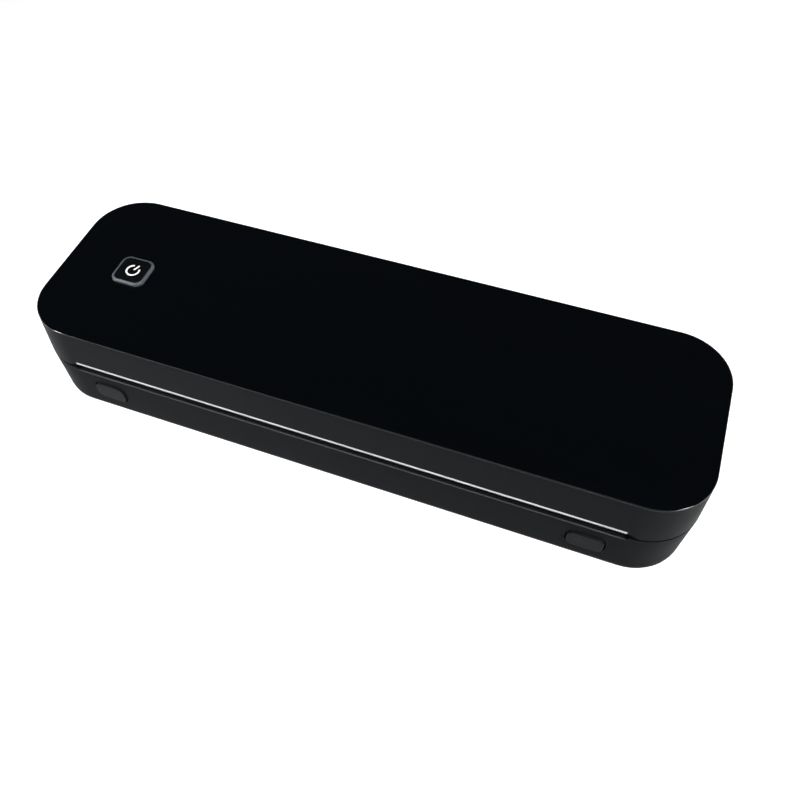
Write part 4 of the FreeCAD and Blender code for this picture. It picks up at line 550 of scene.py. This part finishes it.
def solids_of(name):
    """The low and high corners of each separate solid in a node, in metres."""
    mesh = nodes[name].data
    keys = [tuple(round(part, 6) for part in vertex.co) for vertex in mesh.vertices]
    head = {key: key for key in keys}

    def first(key):
        while head[key] != key:
            head[key] = head[head[key]]
            key = head[key]
        return key

    for face in mesh.polygons:
        corners = [first(keys[index]) for index in face.vertices]
        for corner in corners[1:]:
            head[first(corner)] = first(corners[0])
    groups = {}
    for key in head:
        groups.setdefault(first(key), []).append(key)
    boxes = []
    for points in groups.values():
        low = Vector([min(point[axis] for point in points) for axis in range(3)])
        high = Vector([max(point[axis] for point in points) for axis in range(3)])
        boxes.append((low, high))
    return sorted(boxes, key=lambda box: tuple(box[0]))


def grown(name, recipe, points, sizes, body, turns=None):
    """Run a recipe on a set of points and keep its result as a plain mesh."""
    mesh = bpy.data.meshes.new(name)
    mesh.from_pydata([tuple(point) for point in points], [], [])
    if turns:
        angles = mesh.attributes.new("turn", "FLOAT", "POINT")
        angles.data.foreach_set("value", turns)
    piece = placed(name, mesh)
    modifier = piece.modifiers.new(name, "NODES")
    modifier.node_group = recipe.tree
    for key, value in sizes.items():
        modifier[recipe.keys[key]] = value
    settled = piece.evaluated_get(bpy.context.evaluated_depsgraph_get())
    finished = bpy.data.meshes.new_from_object(settled)
    finished.name = name
    piece.modifiers.clear()
    piece.data = finished
    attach(piece, body)
    return piece


def crossed_head(recipe, radius, thick, half, slot, depth):
    """A head that narrows towards its lower face, with a cross recess cut up into it."""
    blank = {"Vertices": 40, "Side Segments": 6, "Fill Segments": 3, "Radius": radius, "Depth": thick}
    disc = recipe.moved(recipe.cylinder(blank), recipe.vector(0.0, 0.0, half))
    place = recipe.add("GeometryNodeInputPosition").outputs[0]
    split = recipe.add("ShaderNodeSeparateXYZ", {"Vector": place}).outputs
    rounding = {"Value": split["Z"], "From Min": 0.0, "From Max": half,
                "To Min": CROWN_SHARE, "To Max": 1.0}
    swell = recipe.add("ShaderNodeMapRange", rounding, interpolation_type="SMOOTHERSTEP")
    wide = recipe.times(split["X"], swell.outputs["Result"])
    deep = recipe.times(split["Y"], swell.outputs["Result"])
    crown = recipe.vector(wide, deep, split["Z"])
    head = recipe.add("GeometryNodeSetPosition", {"Geometry": disc, "Position": crown}).outputs[0]
    reach = recipe.times(radius, RECESS_REACH_SHARE)
    twice = recipe.times(depth, 2.0)
    cut = recipe.add("GeometryNodeMeshBoolean", operation="DIFFERENCE")
    recipe.tree.links.new(head, cut.inputs["Mesh 1"])
    recipe.tree.links.new(recipe.block(reach, slot, twice), cut.inputs["Mesh 2"])
    recipe.tree.links.new(recipe.block(slot, reach, twice), cut.inputs["Mesh 2"])
    return cut.outputs[0]


def rolled_thread(recipe, shank, length, thick, pitch):
    """A ridge that winds round the shank from the head to the tip."""
    run = recipe.math("SUBTRACT", recipe.math("SUBTRACT", length, thick), pitch)
    root = recipe.times(shank, ROOT_SHARE)
    helix = {"Resolution": 14, "Rotations": recipe.math("DIVIDE", run, pitch),
             "Start Radius": root, "End Radius": root, "Height": run}
    ramp = recipe.add("GeometryNodeCurveSpiral", helix).outputs[0]
    edge = {"Resolution": 3, "Radius": recipe.times(shank, RIDGE_SHARE)}
    ridge = recipe.add("GeometryNodeCurvePrimitiveCircle", edge, mode="RADIUS").outputs[0]
    rolled = {"Curve": ramp, "Profile Curve": ridge, "Fill Caps": True}
    thread = recipe.add("GeometryNodeCurveToMesh", rolled).outputs[0]
    start = recipe.math("ADD", thick, recipe.times(pitch, 0.5))
    return recipe.moved(thread, recipe.vector(0.0, 0.0, start))


def screw_recipe(finish):
    """A rounded head with a cross recess, a shank and a rolled thread, pointing up from its head."""
    recipe = Recipe("cross_screw")
    radius = recipe.size("Head radius")
    thick = recipe.size("Head thickness")
    shank = recipe.size("Shank radius")
    length = recipe.size("Length")
    pitch = recipe.size("Pitch")
    slot = recipe.size("Recess width")
    depth = recipe.size("Recess depth")
    half = recipe.times(thick, 0.5)
    head = crossed_head(recipe, radius, thick, half, slot, depth)
    stem = recipe.math("SUBTRACT", length, half)
    rod = recipe.cylinder({"Vertices": 20, "Radius": recipe.times(shank, CORE_SHARE), "Depth": stem})
    rise = recipe.math("ADD", recipe.times(stem, 0.5), half)
    rod = recipe.moved(rod, recipe.vector(0.0, 0.0, rise))
    thread = rolled_thread(recipe, shank, length, thick, pitch)
    recipe.copies(recipe.joined([head, rod, thread]), finish)
    return recipe


def seat_screws(finish):
    """Cross-recessed screws in place of the plain ones, heads down as in the solids."""
    recipe = screw_recipe(finish)
    for node, body, thick in SCREWS:
        boxes = solids_of(node)
        low, high = boxes[0]
        radius = (high.x - low.x) / 2
        sizes = {"Head radius": radius, "Head thickness": thick, "Shank radius": radius * SHANK_SHARE,
                 "Length": high.z - low.z, "Pitch": radius * PITCH_SHARE,
                 "Recess width": radius * RECESS_WIDTH_SHARE, "Recess depth": thick * RECESS_DEPTH_SHARE}
        points = [((low.x + high.x) / 2, (low.y + high.y) / 2, low.z) for low, high in boxes]
        piece = grown("cross_" + node, recipe, points, sizes, body)
        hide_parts(node)


def leg_recipe(finish):
    """A bent leg of a chip: a shoulder, a drop and a foot on the board."""
    recipe = Recipe("chip_leg")
    wide = recipe.size("Leg width")
    thick = recipe.size("Leg thickness")
    reach = recipe.size("Reach")
    rise = recipe.size("Rise")
    half = recipe.times(thick, 0.5)
    bars = []
    for out, up, run, tall in LEG_BAR_SHARES:
        long = recipe.math("ADD", recipe.times(reach, run), thick)
        deep = recipe.math("ADD", recipe.times(rise, tall), thick)
        high = recipe.math("ADD", recipe.times(rise, up), half)
        place = recipe.vector(recipe.times(reach, out), 0.0, high)
        bars.append(recipe.moved(recipe.block(long, wide, deep), place))
    angle = recipe.add("GeometryNodeInputNamedAttribute", {"Name": "turn"}, data_type="FLOAT")
    recipe.copies(recipe.joined(bars), finish, recipe.vector(0.0, 0.0, angle.outputs[0]))
    return recipe


def chip_legs(finish):
    """Rows of legs along the two long sides of every chip."""
    points = []
    turns = []
    for low, high in solids_of("board_chips"):
        for side, angle in ((high.y, math.pi / 2), (low.y, -math.pi / 2)):
            count = int((high.x - low.x - LEG_PITCH) / LEG_PITCH)
            start = (low.x + high.x - (count - 1) * LEG_PITCH) / 2
            for index in range(count):
                points.append((start + index * LEG_PITCH, side, low.z))
                turns.append(angle)
    sizes = {"Leg width": LEG_WIDTH, "Leg thickness": LEG_THICK, "Reach": LEG_REACH, "Rise": LEG_RISE}
    grown("chip_legs", leg_recipe(finish), points, sizes, "base", turns)


def flexing_leaf(node, finish):
    """A leaf spring copied from its node, with doubled points merged, in place of the node."""
    form = bmesh.new()
    form.from_mesh(nodes[node].data)
    bmesh.ops.remove_doubles(form, verts=form.verts, dist=MERGE_REACH)
    mesh = bpy.data.meshes.new("flexing_" + node)
    form.to_mesh(mesh)
    form.free()
    mesh.materials.clear()
    mesh.materials.append(finish)
    piece = placed("flexing_" + node, mesh)
    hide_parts(node)
    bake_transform(piece)


def seat_springs(finish):
    """The two button return springs and the print head's spring."""
    for side in ("left", "right"):
        node = "button_spring_" + side
        flexing_leaf(node, finish)
    flexing_leaf("head_spring", finish)


def dish_height(offset):
    """The height of the cap's shallow dish at a distance from its middle."""
    low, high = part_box("power_button")
    rim = (high.x - low.x) / 2 - CAP_RIM
    radius = (rim ** 2 + CAP_DISH ** 2) / (2 * CAP_DISH)
    return high.z - CAP_DISH + radius - math.sqrt(radius ** 2 - offset.length_squared)


def ribbon(form, left, right):
    """A thin closed strip between two rows of points on the cap."""
    low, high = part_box("power_button")
    centre = Vector(((low.x + high.x) / 2, (low.y + high.y) / 2))
    rows = []
    for lift in (-MARK_THICK, MARK_THICK):
        for row in (left, right):
            places = [(centre.x + spot.x, centre.y + spot.y, dish_height(spot) + lift) for spot in row]
            rows.append([form.verts.new(place) for place in places])
    low_left, low_right, high_left, high_right = rows
    for index in range(len(left) - 1):
        for first, second in ((low_left, low_right), (high_left, high_right),
                              (low_left, high_left), (low_right, high_right)):
            form.faces.new((first[index], first[index + 1], second[index + 1], second[index]))
    for index in (0, len(left) - 1):
        form.faces.new((low_left[index], low_right[index], high_right[index], high_left[index]))


def power_mark(form):
    """An open ring with a bar in its gap, the usual sign for power."""
    start = math.radians(90 + MARK_GAP + MARK_TURN)
    sweep = math.radians(360 - 2 * MARK_GAP)
    turns = [start + sweep * index / MARK_RING_STEPS for index in range(MARK_RING_STEPS + 1)]
    around = [Vector((math.cos(turn), math.sin(turn))) for turn in turns]
    ribbon(form, [spot * (MARK_RADIUS - MARK_STROKE / 2) for spot in around],
           [spot * (MARK_RADIUS + MARK_STROKE / 2) for spot in around])
    up = Vector((-math.sin(math.radians(MARK_TURN)), math.cos(math.radians(MARK_TURN))))
    side = Vector((up.y, -up.x)) * MARK_STROKE / 2
    foot = MARK_RADIUS * MARK_BAR_START_SHARE
    bar = [up * (foot + MARK_BAR * index / MARK_BAR_STEPS) for index in range(MARK_BAR_STEPS + 1)]
    ribbon(form, [spot - side for spot in bar], [spot + side for spot in bar])


def make_camera():
    """The photograph's camera."""
    data = bpy.data.cameras.new("camera")
    data.lens = CAMERA_LENS
    data.sensor_width = CAMERA_SENSOR
    data.shift_x, data.shift_y = CAMERA_SHIFT
    camera = placed("camera", data)
    turn = Matrix.Rotation(math.radians(CAMERA_HEADING), 4, "Z")
    tilt = Matrix.Rotation(math.radians(CAMERA_TILT), 4, "X")
    roll = Matrix.Rotation(math.radians(CAMERA_ROLL), 4, "Z")
    camera.matrix_world = Matrix.Translation(CAMERA_PLACE) @ turn @ tilt @ roll
    bpy.context.scene.camera = camera


def floor_profile():
    """Radius and height along the floor, its bend and its wall."""
    flat = FLOOR_RADIUS - BEND_RADIUS
    points = [(flat, 0.0)]
    for index in range(1, BEND_STEPS + 1):
        turn = math.pi / 2 * index / BEND_STEPS
        points.append((flat + BEND_RADIUS * math.sin(turn), BEND_RADIUS * (1 - math.cos(turn))))
    points.append((FLOOR_RADIUS, WALL_HEIGHT))
    return points


def make_floor():
    """A round floor in one piece with its bend and wall."""
    form = bmesh.new()
    rings = []
    for radius, height in floor_profile():
        ring = []
        for index in range(FLOOR_SIDES):
            turn = 2 * math.pi * index / FLOOR_SIDES
            place = (radius * math.cos(turn), radius * math.sin(turn), height - FLOOR_DROP)
            ring.append(form.verts.new(place))
        rings.append(ring)
    form.faces.new(rings[0])
    for inner, outer in zip(rings, rings[1:]):
        for index in range(FLOOR_SIDES):
            after = (index + 1) % FLOOR_SIDES
            form.faces.new((inner[index], outer[index], outer[after], inner[after]))
    mesh = bpy.data.meshes.new("studio_floor")
    form.to_mesh(mesh)
    form.free()
    mesh.shade_smooth()
    mesh.materials.append(floor_material())
    floor = placed("studio_floor", mesh)


def seen_directly(tree):
    """One for camera, mirror and transmission rays, nought for the rest."""
    path = tree.nodes.new("ShaderNodeLightPath")
    total = path.outputs["Is Camera Ray"]
    for kind in ("Is Glossy Ray", "Is Transmission Ray"):
        joined = tree.nodes.new("ShaderNodeMath")
        joined.operation = "MAXIMUM"
        tree.links.new(total, joined.inputs[0])
        tree.links.new(path.outputs[kind], joined.inputs[1])
        total = joined.outputs[0]
    return total


def floor_material():
    """Paper that keeps shadows and shows white where nothing shades it."""
    material = bpy.data.materials.new("studio_floor")
    material.use_nodes = True
    tree = material.node_tree
    shader = tree.nodes["Principled BSDF"]
    shader.inputs["Base Color"].default_value = FLOOR_COLOUR
    shader.inputs["Roughness"].default_value = FLOOR_ROUGHNESS
    shader.inputs["Specular IOR Level"].default_value = 0.0
    shader.inputs["Emission Color"].default_value = GLOW_COLOUR
    lift = tree.nodes.new("ShaderNodeMath")
    lift.operation = "MULTIPLY"
    lift.inputs[1].default_value = FLOOR_GLOW
    tree.links.new(seen_directly(tree), lift.inputs[0])
    tree.links.new(lift.outputs[0], shader.inputs["Emission Strength"])
    return material


def make_world():
    """The dim ceiling."""
    world = bpy.data.worlds.new("studio")
    world.use_nodes = True
    background = world.node_tree.nodes["Background"]
    background.inputs["Color"].default_value = CEILING_COLOUR
    background.inputs["Strength"].default_value = CEILING_LIGHT
    bpy.context.scene.world = world


def make_lights():
    """The soft boxes, each turned to what it aims at."""
    for name, (place, aim, size, power, fan) in SOFT_BOXES.items():
        data = bpy.data.lights.new(name, "AREA")
        data.shape = "RECTANGLE"
        data.size, data.size_y = size
        data.energy = power
        data.spread = math.radians(fan)
        lamp = placed(name, data)
        lamp.location = place
        lamp.rotation_mode = "QUATERNION"
        lamp.rotation_quaternion = (Vector(aim) - Vector(place)).to_track_quat("-Z", "Y")


make_camera()
platen_low, platen_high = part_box("platen_rubber")
platen_y = (platen_low.y + platen_high.y) / 2
finishes = {**outer_plastics(), **inner_plastics(), **metals(), **electronics(platen_y)}
dress(finishes)
mark_ink = moulded("mark_ink", rgb(196), roughness=0.5, grain=0.1, depth=0.002)
mesh_piece("power_mark", power_mark, mark_ink, "power_button")
seat_screws(finishes["screw_steel"])
chip_legs(ground_metal("tinned_legs", rgb(196), roughness=0.3, along="Z"))
seat_springs(finishes["spring_steel"])
make_floor()
make_world()
make_lights()
bpy.context.scene.view_settings.view_transform = "Standard"
